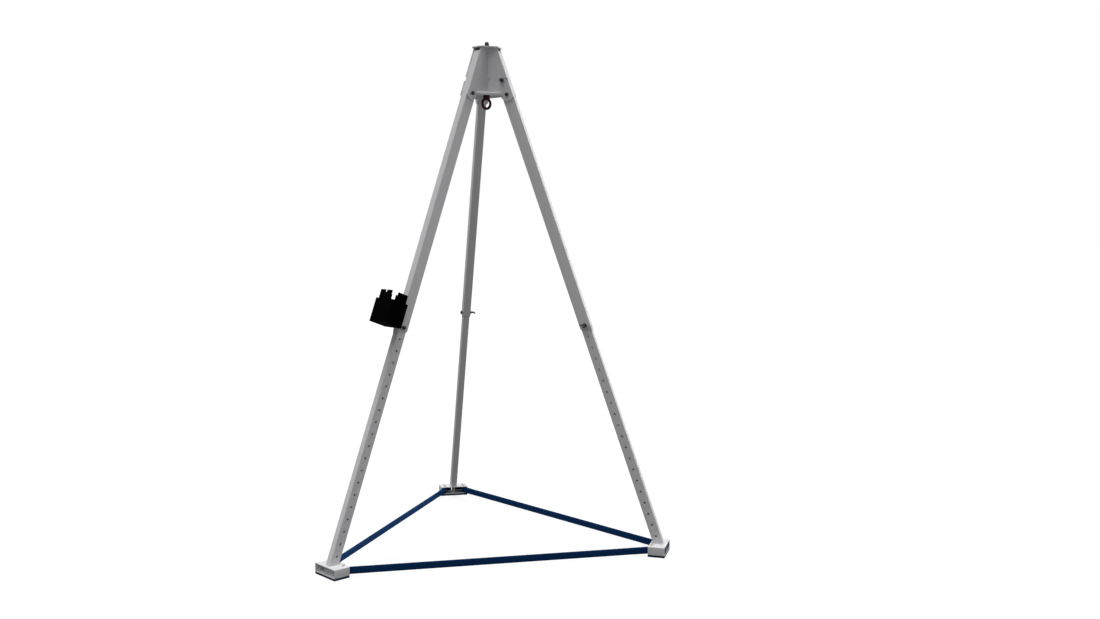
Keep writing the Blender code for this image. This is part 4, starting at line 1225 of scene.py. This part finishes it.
@dataclass
class Leg:
    """A telescopic leg: two sections, the collar between them and the pin that locks them."""

    trees: Trees
    stand: Stand
    depth: float = 0.049
    width: float = 0.035
    wall: float = 0.00275
    corner: float = 0.0025
    top: float = 0.1891
    bottom: float = 1.053
    inner_wall: float = 0.0025
    inner_top: float = 0.930
    bush: float = 0.0063
    lock_rise: float = 0.0644
    nose: float = 0.0053
    hole: float = 0.0043
    pitch: float = 0.050
    count: int = 20
    lock_drop: float = 1.045
    foot_top: float = 0.0443        # the inner section's level end, above the floor
    socket: float = 0.0078
    socket_length: float = 0.009
    socket_edge: float = 0.0015

    def build(self) -> None:
        """Dress one leg."""
        name, place = self.stand.name, self.stand.leg
        upper, lower = f"{name}_upper_leg", f"{name}_lower_leg"
        Piece(
            f"{name}_outer_section", self.outer(), TUBE_ALUMINIUM, upper, (f"{name}_outer_tube",), place,
            edge=0.0004, crease=50.0,
        ).make()
        Piece(
            f"{name}_inner_section", self.inner(), TUBE_ALUMINIUM, lower, (f"{name}_inner_tube",), place,
            edge=0.0003, edge_steps=1, crease=50.0,
        ).make()
        Piece.copied(f"{name}_leg_collar", f"{name}_collar_taper", COLLAR_GREY, upper, place, 0.0005).make()
        Piece.copied(f"{name}_top_plug", f"{name}_top_plug_cap", BLACK_PLASTIC, upper, place, 0.0008).make()
        self.build_lock()
        LOG.info("%s leg", name)

    def outer(self) -> Mesh:
        """Extrude the upper section and bore it for the bush and both locks.

        Returns:
            The section, in the leg's directions.
        """
        skin = rounded_rectangle(self.depth, self.width, self.corner)
        bore = rounded_rectangle(self.depth - 2 * self.wall, self.width - 2 * self.wall, self.corner / 2)
        ends = ((skin, -self.bottom), (skin, self.top), (bore, self.top), (bore, -self.bottom))
        mesh = to_mesh("outer", loft([level(outline, height) for outline, height in ends], closed=True))
        half = self.width / 2 + OVERRUN
        bores = (
            (self.bush, 0.0, -half), (self.nose, self.lock_rise, 0.0), (self.hole, -self.lock_drop, -half),
        )
        return carved(mesh, *[
            moved(bar(radius, low, half), Matrix.Translation((0.0, 0.0, along)) @ ALONG_MINUS_Y)
            for radius, along, low in bores
        ])

    def inner(self) -> Mesh:
        """Extrude the lower section, cut it level on the foot and drill its row of holes.

        Returns:
            The section, in the leg's directions.
        """
        clear = 2 * (self.wall + SEAT)
        depth, width = self.depth - clear, self.width - clear
        skin = rounded_rectangle(depth, width, self.corner)
        bore = rounded_rectangle(depth - 2 * self.inner_wall, width - 2 * self.inner_wall, self.corner / 3)
        pivot = self.stand.leg.translation.z
        rise = (self.stand.leg.to_3x3() @ Vector((1.0, 0.0, 0.0))).z
        along = (self.stand.leg.to_3x3() @ Vector((0.0, 0.0, 1.0))).z

        def cut_level(outline: list[Point]) -> list[Vector]:
            """End an outline in the foot's level top face."""
            return [Vector((x, y, (self.foot_top - pivot - x * rise) / along)) for x, y in outline]

        sections = [cut_level(skin), level(skin, -self.inner_top), level(bore, -self.inner_top), cut_level(bore)]
        mesh = to_mesh("inner", loft(sections, closed=True))
        return grown(self.trees.holes, TUBE_ALUMINIUM, {
            "Count": self.count, "Pitch": -self.pitch, "Radius": self.hole, "Reach": width + 2 * OVERRUN,
            "First": -self.lock_drop,
        }, mesh)

    def build_lock(self) -> None:
        """Make the lock pin with its bar and hooked handle, and the socket on the far side."""
        name, lock = self.stand.name, f"{self.stand.name}_leg_lock"
        place = self.stand.leg @ Matrix.Translation((0.0, 0.0, -self.lock_drop))
        Piece.copied(f"{lock}_pin", f"{lock}_handle", BLACK_ZINC, lock, place, 0.0006).make()
        seat = self.width / 2 + SEAT
        radius, end, edge = self.socket, seat + self.socket_length, self.socket_edge
        boss = to_mesh("socket", lathe([
            (self.hole, seat), (radius - edge / 3, seat), (radius, seat + edge / 3), (radius, end - edge),
            (radius - edge * 0.3, end - edge * 0.3), (radius - edge, end), (0.0, end), (0.0, end - 2 * edge),
            (self.hole, end - 2 * edge),
        ], closed=True))
        boss.transform(ALONG_Y)
        socket = f"{name}_lock_socket"
        Piece(f"{socket}_boss", boss, BLACK_ZINC, f"{name}_upper_leg", (socket,), place).make()


@dataclass
class Foot:
    """A two-chamber foot on its rubber pad, with the bolts that hold the straps."""

    trees: Trees
    stand: Stand
    depth: float = 0.0715
    width: float = 0.136
    sole: float = 0.008
    height: float = 0.036
    wall: float = 0.0025
    fillet: float = 0.0022
    bolt_inset: float = 0.021
    bolt_spread: float = 0.047
    bolt_rise: float = 0.012
    bolt_hole: float = 0.0043
    bolt_root: float = 0.001        # how far its shank goes into its head
    bolt: Fastener = field(default_factory=Fastener)
    bead: float = 0.0036            # width of the weld

    def build(self) -> None:
        """Dress one foot."""
        name, place, bolt = self.stand.name, self.stand.foot, self.bolt
        body = f"{name}_lower_leg"
        Piece(
            f"{name}_foot_extrusion", self.profile(), FOOT_ALUMINIUM, body, (f"{name}_foot_profile",), place,
            edge=0.0006, crease=50.0,
        ).make()
        Piece.copied(f"{name}_sole_pad", f"{name}_sole_rubber", SOLE_RUBBER, body, place, 0.0012, edge_steps=3).make()
        top = self.sole + self.height + SEAT
        end = self.sole + self.height + self.bolt_rise
        nut_end = top + bolt.flange_thickness + bolt.nut
        for number, side in ((1, -1), (2, 1)):
            spot = place @ Matrix.Translation((-self.bolt_inset, side * self.bolt_spread, 0.0))
            shapes = [
                bar(bolt.shank, self.sole - self.bolt_root, end, bolt.chamfer), *bolt.flanged(top, bolt.nut),
                hexagon(bolt.flats, self.sole - bolt.head, self.sole),
            ]
            mesh = bolt.threaded(self.trees, ZINC, shapes, nut_end, end - bolt.thread_start)
            Piece(f"{name}_strap_bolt_{number}_set", mesh, ZINC, body, (f"{name}_strap_bolt_{number}",), spot).make()
        Piece(f"{name}_foot_weld", self.weld(), WELD, body, place=place).make()
        LOG.info("%s foot", name)

    def weld(self) -> Mesh:
        """Run a rippled bead round the inner tube where it meets the foot.

        Returns:
            The bead, in the foot's directions.
        """
        back = self.stand.foot.inverted()
        points = [back @ vertex.co for vertex in frame["nodes"][f"{self.stand.name}_inner_tube"].data.vertices]
        lowest = min(point.z for point in points)
        rim = [point for point in points if point.z < lowest + SEAT]
        outside = [rim[i] for i in geometry.convex_hull_2d([point.xy for point in rim])]
        middle = sum(outside, Vector()) / len(outside)
        proud = self.bead / 6           # how far the bead's middle stands out of the corner
        run = [p + (p - middle).normalized() * proud + Vector((0.0, 0.0, proud)) for p in outside]
        return grown(self.trees.beads, WELD, {
            "Spacing": self.bead * 0.6, "Length": self.bead * 1.3, "Width": self.bead, "Spread": 0.1,
        }, path_mesh([run + run[:1]]))

    def profile(self) -> Mesh:
        """Extrude the two chambers along X and drill the bolts' holes.

        Returns:
            The foot, in its own directions.
        """
        def extruded(width: float, low: float, high: float, middle: float, reach: float) -> Shape:
            """Extrude a round-cornered section in Y and Z as far as the reach each way."""
            corners = rounded_rectangle(width, high - low, self.fillet)
            outline = [(middle + y, (low + high) / 2 + z) for y, z in corners]
            return loft([[Vector((x, y, z)) for y, z in outline] for x in (-reach, reach)])

        low, high = self.sole + SEAT, self.sole + self.height
        half = self.depth / 2
        chamber = (self.width - 3 * self.wall) / 2
        cutters = []
        for side in (-1, 1):
            middle = side * (chamber + self.wall) / 2
            cutters.append(extruded(chamber, self.sole + self.wall, high - self.wall, middle, half + OVERRUN))
            spot = Matrix.Translation((-self.bolt_inset, side * self.bolt_spread, 0.0))
            cutters.append(moved(bar(self.bolt_hole, 0.0, high + OVERRUN), spot))
        return carved(to_mesh("foot", extruded(self.width, low, high, 0.0, half)), *cutters)


@dataclass(kw_only=True)
class Webbed:
    """What every length of webbing shares: its section on edge above the chamber's floor."""

    low: float = 0.011
    height: float = 0.030
    thickness: float = 0.0018
    bolt_inset: float = 0.021
    bolt_spread: float = 0.047

    def band(self, path: Sequence[Point]) -> Mesh:
        """Sweep the webbing's flat section along a path, with the metres along and across it on each point.

        Args:
            path: Its middle line in X and Y.

        Returns:
            The webbing's mesh.
        """
        half, low, high = self.thickness / 2, self.low, self.low + self.height
        edge = half * 0.9               # how far the selvedge's rounding reaches
        rise = [(half, z) for z in (low + edge, low + self.height / 3, low + self.height * 2 / 3, high - edge)]
        rise += [(half * 0.6, high - edge / 4), (0.0, high), (-half * 0.6, high - edge / 4)]
        section = rise + [(-off, low + high - z) for off, z in rise]
        sections, weave = [], []
        travelled = 0.0
        for i, (x, y) in enumerate(path):
            before, after = path[max(0, i - 1)], path[min(len(path) - 1, i + 1)]
            along = Vector((after[0] - before[0], after[1] - before[1], 0.0)).normalized()
            across = Vector((-along.y, along.x, 0.0))
            if i:
                travelled += math.dist(path[i - 1], (x, y))
            sections.append([Vector((x, y, 0.0)) + across * off + Vector((0.0, 0.0, z)) for off, z in section])
            weave += [(travelled, z, 0.0) for _, z in section]
        mesh = to_mesh("band", loft(sections))
        place = mesh.attributes.new(WEAVE, "FLOAT_VECTOR", "POINT")
        for value, point in zip(place.data, weave):
            value.vector = point
        mesh.materials.append(BLUE_WEBBING.material())
        return mesh


@dataclass(kw_only=True)
class SpareEnd(Webbed):
    """The rest of a strap's length, laid along a foot's chamber wall and across its outer end."""

    stand: Stand
    side: int                       # which chamber, along the foot's Y: -1 or 1
    loop_outside: float = 0.0075    # bolt to the spare end's start
    wall_gap: float = 0.0035        # chamber wall to the webbing's middle
    chamber_wall: float = 0.0655
    rib: float = 0.00125
    reach: float = 0.032            # foot's middle to the run across the outer end
    turn: float = 0.007
    turn_steps: int = 7

    def build(self) -> None:
        """Make one spare end."""
        wall = self.chamber_wall - self.wall_gap
        start, bolt = self.bolt_spread + self.loop_outside, -self.bolt_inset
        middle_x, middle_y = self.reach - self.turn, wall - self.turn
        points = [
            (bolt - 0.004, start), (bolt + 0.004, start), (bolt + 0.014, wall - 0.002), (bolt + 0.022, wall),
            (middle_x, wall),
        ]
        for step in range(1, self.turn_steps + 1):
            angle = math.pi / 2 * step / self.turn_steps
            points.append((middle_x + self.turn * math.sin(angle), middle_y + self.turn * math.cos(angle)))
        end = self.rib + self.wall_gap
        points += [(self.reach + 0.001, wall * 0.6), (self.reach, wall * 0.35), (self.reach - 0.001, end)]
        mesh = self.band([(x, self.side * y) for x, y in points])
        name = f"{self.stand.name}_webbing_{'near' if self.side < 0 else 'far'}_end"
        Piece(name, mesh, BLUE_WEBBING, f"{self.stand.name}_lower_leg", (), self.stand.foot, crease=60.0).make()


@dataclass(kw_only=True)
class Strap(Webbed):
    """Webbing on edge between two feet, looped round a bolt at each end and sewn back on itself.

    Each half rides on its own foot.
    """

    trees: Trees
    node: str
    first: Stand
    last: Stand
    loop: float = 0.0053            # the loop's middle line round the bolt
    lap: float = 0.085              # bolt to the sewn end
    ease: float = 0.028             # bolt to where the two layers meet
    lap_steps: int = 5
    lap_step: float = 0.012
    ease_steps: int = 7
    open_turn: float = 108.0        # degrees from the lap to where the loop leaves the bolt
    # where the single layer runs to the middle: metres past the lap, and share of the layer's offset
    past_lap: tuple[Point, ...] = ((0.0, 1.0), (0.006, 0.9), (0.014, 0.45), (0.022, 0.1), (0.028, 0.0))
    loop_steps: int = 14
    run_steps: int = 24
    stitch: float = 0.0028
    thread: float = 0.0007
    seam_margin: float = 0.004
    keep: float = 0.05              # share of a half's length when its leg is folded

    def build(self) -> None:
        """Make both halves."""
        ends = [
            self.first.foot @ Vector((-self.bolt_inset, self.bolt_spread, 0.0)),
            self.last.foot @ Vector((-self.bolt_inset, -self.bolt_spread, 0.0)),
        ]
        self.build_half(self.first, *ends)
        self.build_half(self.last, *reversed(ends))
        LOG.info("%s", self.node)

    def build_half(self, stand: Stand, start: Vector, other: Vector) -> None:
        """Make one half.

        Args:
            stand: The foot that carries it.
            start: The bolt on that foot.
            other: The bolt on the far foot.
        """
        run = other - start
        heading = Matrix.Rotation(math.atan2(run.y, run.x), 4, "Z")
        band = self.band(self.path(run.length / 2))
        seams = grown(self.trees.beads, BLUE_THREAD, {
            "Spacing": self.stitch, "Length": self.stitch * 0.85, "Width": self.thread, "Spread": 0.06,
        }, path_mesh(self.seams()))
        name = f"{self.node}_{stand.name}_half{'' if stand is self.first else '_far'}"
        item = Piece(
            name, merged("strap", [band, seams]), BLUE_WEBBING, f"{stand.name}_lower_leg", (self.node,),
            Matrix.Translation(start) @ heading, crease=60.0,
        ).make()
        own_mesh(item)

    def path(self, end: float) -> list[Point]:
        """Draw the band's middle line from its sewn end, round the bolt and out to the strap's middle.

        Args:
            end: Distance from the bolt to the strap's middle.

        Returns:
            Its points, with the bolt at the origin and the strap along X.
        """
        offset, spread = self.thickness / 2, math.radians(self.open_turn)
        points = [(self.lap - step * self.lap_step, offset) for step in range(self.lap_steps)]
        for step in range(1, self.ease_steps):
            share = step / self.ease_steps
            blend = share * share * (3 - 2 * share)
            x = self.ease + (self.loop * math.cos(spread) - self.ease) * share
            points.append((x, offset + (self.loop * math.sin(spread) - offset) * blend))
        mirrored = [(x, -y) for x, y in reversed(points[1:])]
        for step in range(self.loop_steps + 1):
            turn = spread + (2 * math.pi - 2 * spread) * step / self.loop_steps
            points.append((self.loop * math.cos(turn), self.loop * math.sin(turn)))
        points += mirrored
        points += [(self.lap + past, -offset * share) for past, share in self.past_lap]
        start = points[-1][0]
        points += [(start + (end - start) * step / self.run_steps, 0.0) for step in range(1, self.run_steps + 1)]
        return points

    def seams(self) -> list[list[Vector]]:
        """Draw the sewn box and its crossed diagonals on both faces of the lap.

        Returns:
            Points of each seam.
        """
        margin = self.seam_margin
        left, right = self.ease + 2 * margin, self.lap - margin
        low, high = self.low + margin, self.low + self.height - margin
        paths = []
        for face in (-1, 1):
            y = face * (self.thickness + 0.0001)
            corners = [Vector((x, y, z)) for x, z in ((left, low), (right, low), (right, high), (left, high))]
            paths += [[corners[a], corners[b]] for a, b in ((0, 1), (1, 2), (2, 3), (3, 0), (0, 2), (1, 3))]
        return paths


@dataclass
class Bracket:
    """The folded device bracket on the left leg, its saddle and the screws between them."""

    stand: Stand
    back: float = 0.039
    sheet: float = 0.004
    screw_spread: float = 0.008
    screw_low: float = -1.024
    screw_high: float = -0.991
    screw_head: float = 0.0055
    screw_rise: float = 0.0033
    recess: float = 0.0022          # radius of the socket in the screw's head

    def build(self) -> None:
        """Dress the bracket, the saddle and four screws."""
        place = self.stand.leg
        body = f"{self.stand.name}_upper_leg"
        Piece.copied(
            "device_bracket", "device_bracket_folding", BLACK_COAT, body, place, 0.0012, edge_steps=3,
        ).make()
        Piece.copied("bracket_saddle", "bracket_saddle_block", BLACK_COAT, body, place, 0.0008).make()
        seat, rise = self.back + self.sheet, self.screw_rise
        floor = seat + rise * 0.35      # of the recess
        spots = [(side, along) for side in (-1, 1) for along in (self.screw_low, self.screw_high)]
        for number, (side, along) in enumerate(spots, start=1):
            head = lathe([
                (0.0015, floor), (self.recess, floor), (self.recess + 0.0002, seat + rise),
                (self.recess + 0.0008, seat + rise), (self.screw_head * 0.8, seat + rise * 0.8),
                (self.screw_head, seat + rise * 0.3), (self.screw_head, seat), (0.0, seat), (0.0, floor),
            ], closed=True)
            spot = place @ Matrix.Translation((0.0, side * self.screw_spread, along)) @ ALONG_X
            Piece(f"bracket_screw_{number}", to_mesh("screw", head), BLACK_ZINC, body, (), spot).make()
        LOG.info("device bracket")


LAMPS = (                           # each as Studio.lamp takes it
    ("overhead", 90.0, 89.0, 1.55, 15.0),
    ("high_left", -150.0, 65.0, 0.92, 40.0),
    ("high_front", -90.0, 60.0, 0.12, 40.0),
    ("low_right", 0.0, 10.0, 0.68, 40.0),
    ("low_back_right", 30.0, 10.0, 0.89, 40.0),
)


@dataclass
class Studio:
    """Pale floor, soft light and the camera at the photograph's place."""

    camera_at: tuple[float, float, float] = (-0.9497, -4.9167, 1.420)
    heading: float = 75.264         # degrees from +X
    pitch: float = 4.685            # degrees down
    roll: float = 0.7156            # degrees that the image is turned clockwise
    lens: float = 36.0
    sensor: float = 36.0
    sight: float = 60.0
    ambient: float = 0.13
    floor_reach: float = 40.0
    floor_bounce: float = 0.2
    floor_colour: str = "#A0A0A0"
    floor_glow: float = 0.7         # what the lamps leave short of white, so shadows stay faint

    def build(self) -> None:
        """Make the camera, the floor, the world and the lamps."""
        self.build_camera()
        self.build_floor()
        self.build_world()
        for lamp in LAMPS:
            self.lamp(*lamp)
        bpy.context.scene.view_settings.view_transform = "Standard"
        LOG.info("studio")

    def build_camera(self) -> None:
        """Place the camera."""
        turn, dip, roll = (math.radians(a) for a in (self.heading, self.pitch, self.roll))
        ahead = Vector((math.cos(turn) * math.cos(dip), math.sin(turn) * math.cos(dip), -math.sin(dip)))
        right = Vector((math.sin(turn), -math.cos(turn), 0.0))
        up = right.cross(ahead)
        right, up = right * math.cos(roll) + up * math.sin(roll), up * math.cos(roll) - right * math.sin(roll)
        data = bpy.data.cameras.new("camera")
        data.lens = self.lens
        data.sensor_width = self.sensor
        data.sensor_fit = "HORIZONTAL"
        data.clip_end = self.sight
        camera = placed("camera", data)
        camera.matrix_world = Matrix.Translation(self.camera_at) @ Matrix((right, up, -ahead)).transposed().to_4x4()
        bpy.context.scene.camera = camera

    def build_floor(self) -> None:
        """Lay a wide pale floor that throws only a little light back."""
        made = bpy.data.materials.new("pale_floor")
        made.use_nodes = True
        tree = made.node_tree
        shader = tree.nodes["Principled BSDF"]
        shader.inputs["Roughness"].default_value = 1.0
        shader.inputs["Specular IOR Level"].default_value = 0.0
        path = add_node(tree, "ShaderNodeLightPath")
        dark = (self.floor_bounce, self.floor_bounce, self.floor_bounce, 1.0)
        mix = add_node(tree, "ShaderNodeMix", {
            "Factor": path.outputs["Is Diffuse Ray"], "A": linear(self.floor_colour), "B": dark,
        }, data_type="RGBA")
        tree.links.new(mix.outputs["Result"], shader.inputs["Base Color"])
        glow = add_node(tree, "ShaderNodeMapRange", {
            "Value": path.outputs["Is Camera Ray"], "To Min": 0.0, "To Max": self.floor_glow,
        })
        shader.inputs["Emission Color"].default_value = (1.0, 1.0, 1.0, 1.0)
        tree.links.new(glow.outputs["Result"], shader.inputs["Emission Strength"])
        across = (-self.floor_reach, self.floor_reach)
        mesh = to_mesh("floor", block(across, across, (-0.02, 0.0)))
        mesh.materials.append(made)
        placed("floor", mesh)

    def build_world(self) -> None:
        """Light evenly from the sky, and show it white to the camera and in reflections."""
        world = bpy.data.worlds.new("sky")
        world.use_nodes = True
        tree = world.node_tree
        sky = tree.nodes["Background"]
        sky.inputs["Color"].default_value = (1.0, 1.0, 1.0, 1.0)
        out = add_node(tree, "ShaderNodeLightPath").outputs
        seen = add_node(tree, "ShaderNodeMath", {
            0: out["Is Camera Ray"], 1: out["Is Glossy Ray"],
        }, operation="MAXIMUM")
        either = add_node(tree, "ShaderNodeMath", {0: seen, 1: out["Is Transmission Ray"]}, operation="MAXIMUM")
        strength = add_node(tree, "ShaderNodeMapRange", {"Value": either, "To Min": self.ambient, "To Max": 1.0})
        tree.links.new(strength.outputs["Result"], sky.inputs["Strength"])
        bpy.context.scene.world = world

    @staticmethod
    def lamp(name: str, azimuth: float, elevation: float, strength: float, spread: float) -> None:
        """Add a soft distant lamp.

        Args:
            name: Its name.
            azimuth: Degrees from +X to where it stands.
            elevation: Degrees above the horizon.
            strength: Light on a face turned to it.
            spread: Angle that it fills, in degrees.
        """
        data = bpy.data.lights.new(name, "SUN")
        data.energy = strength
        data.angle = math.radians(spread)
        turn, rise = math.radians(azimuth), math.radians(elevation)
        away = Vector((math.cos(turn) * math.cos(rise), math.sin(turn) * math.cos(rise), math.sin(rise)))
        placed(name, data).rotation_euler = away.to_track_quat("Z", "Y").to_euler()


def main() -> None:
    """Build the tripod's looks."""
    logging.basicConfig(level=logging.INFO, format="%(message)s")
    Studio().build()
    trees = Trees()
    stands = {name: Stand.of(name) for name in LEGS}
    Head().build()
    for stand in stands.values():
        Pivot(trees, stand).build()
        Leg(trees, stand).build()
        Foot(trees, stand).build()
    for node, first, last in STRAPS:
        Strap(trees=trees, node=node, first=stands[first], last=stands[last]).build()
    for name in SPARE_ENDS:
        for side in (-1, 1):
            SpareEnd(stand=stands[name], side=side).build()
    Bracket(stands["left"]).build()


if __name__ == "__main__":
    main()
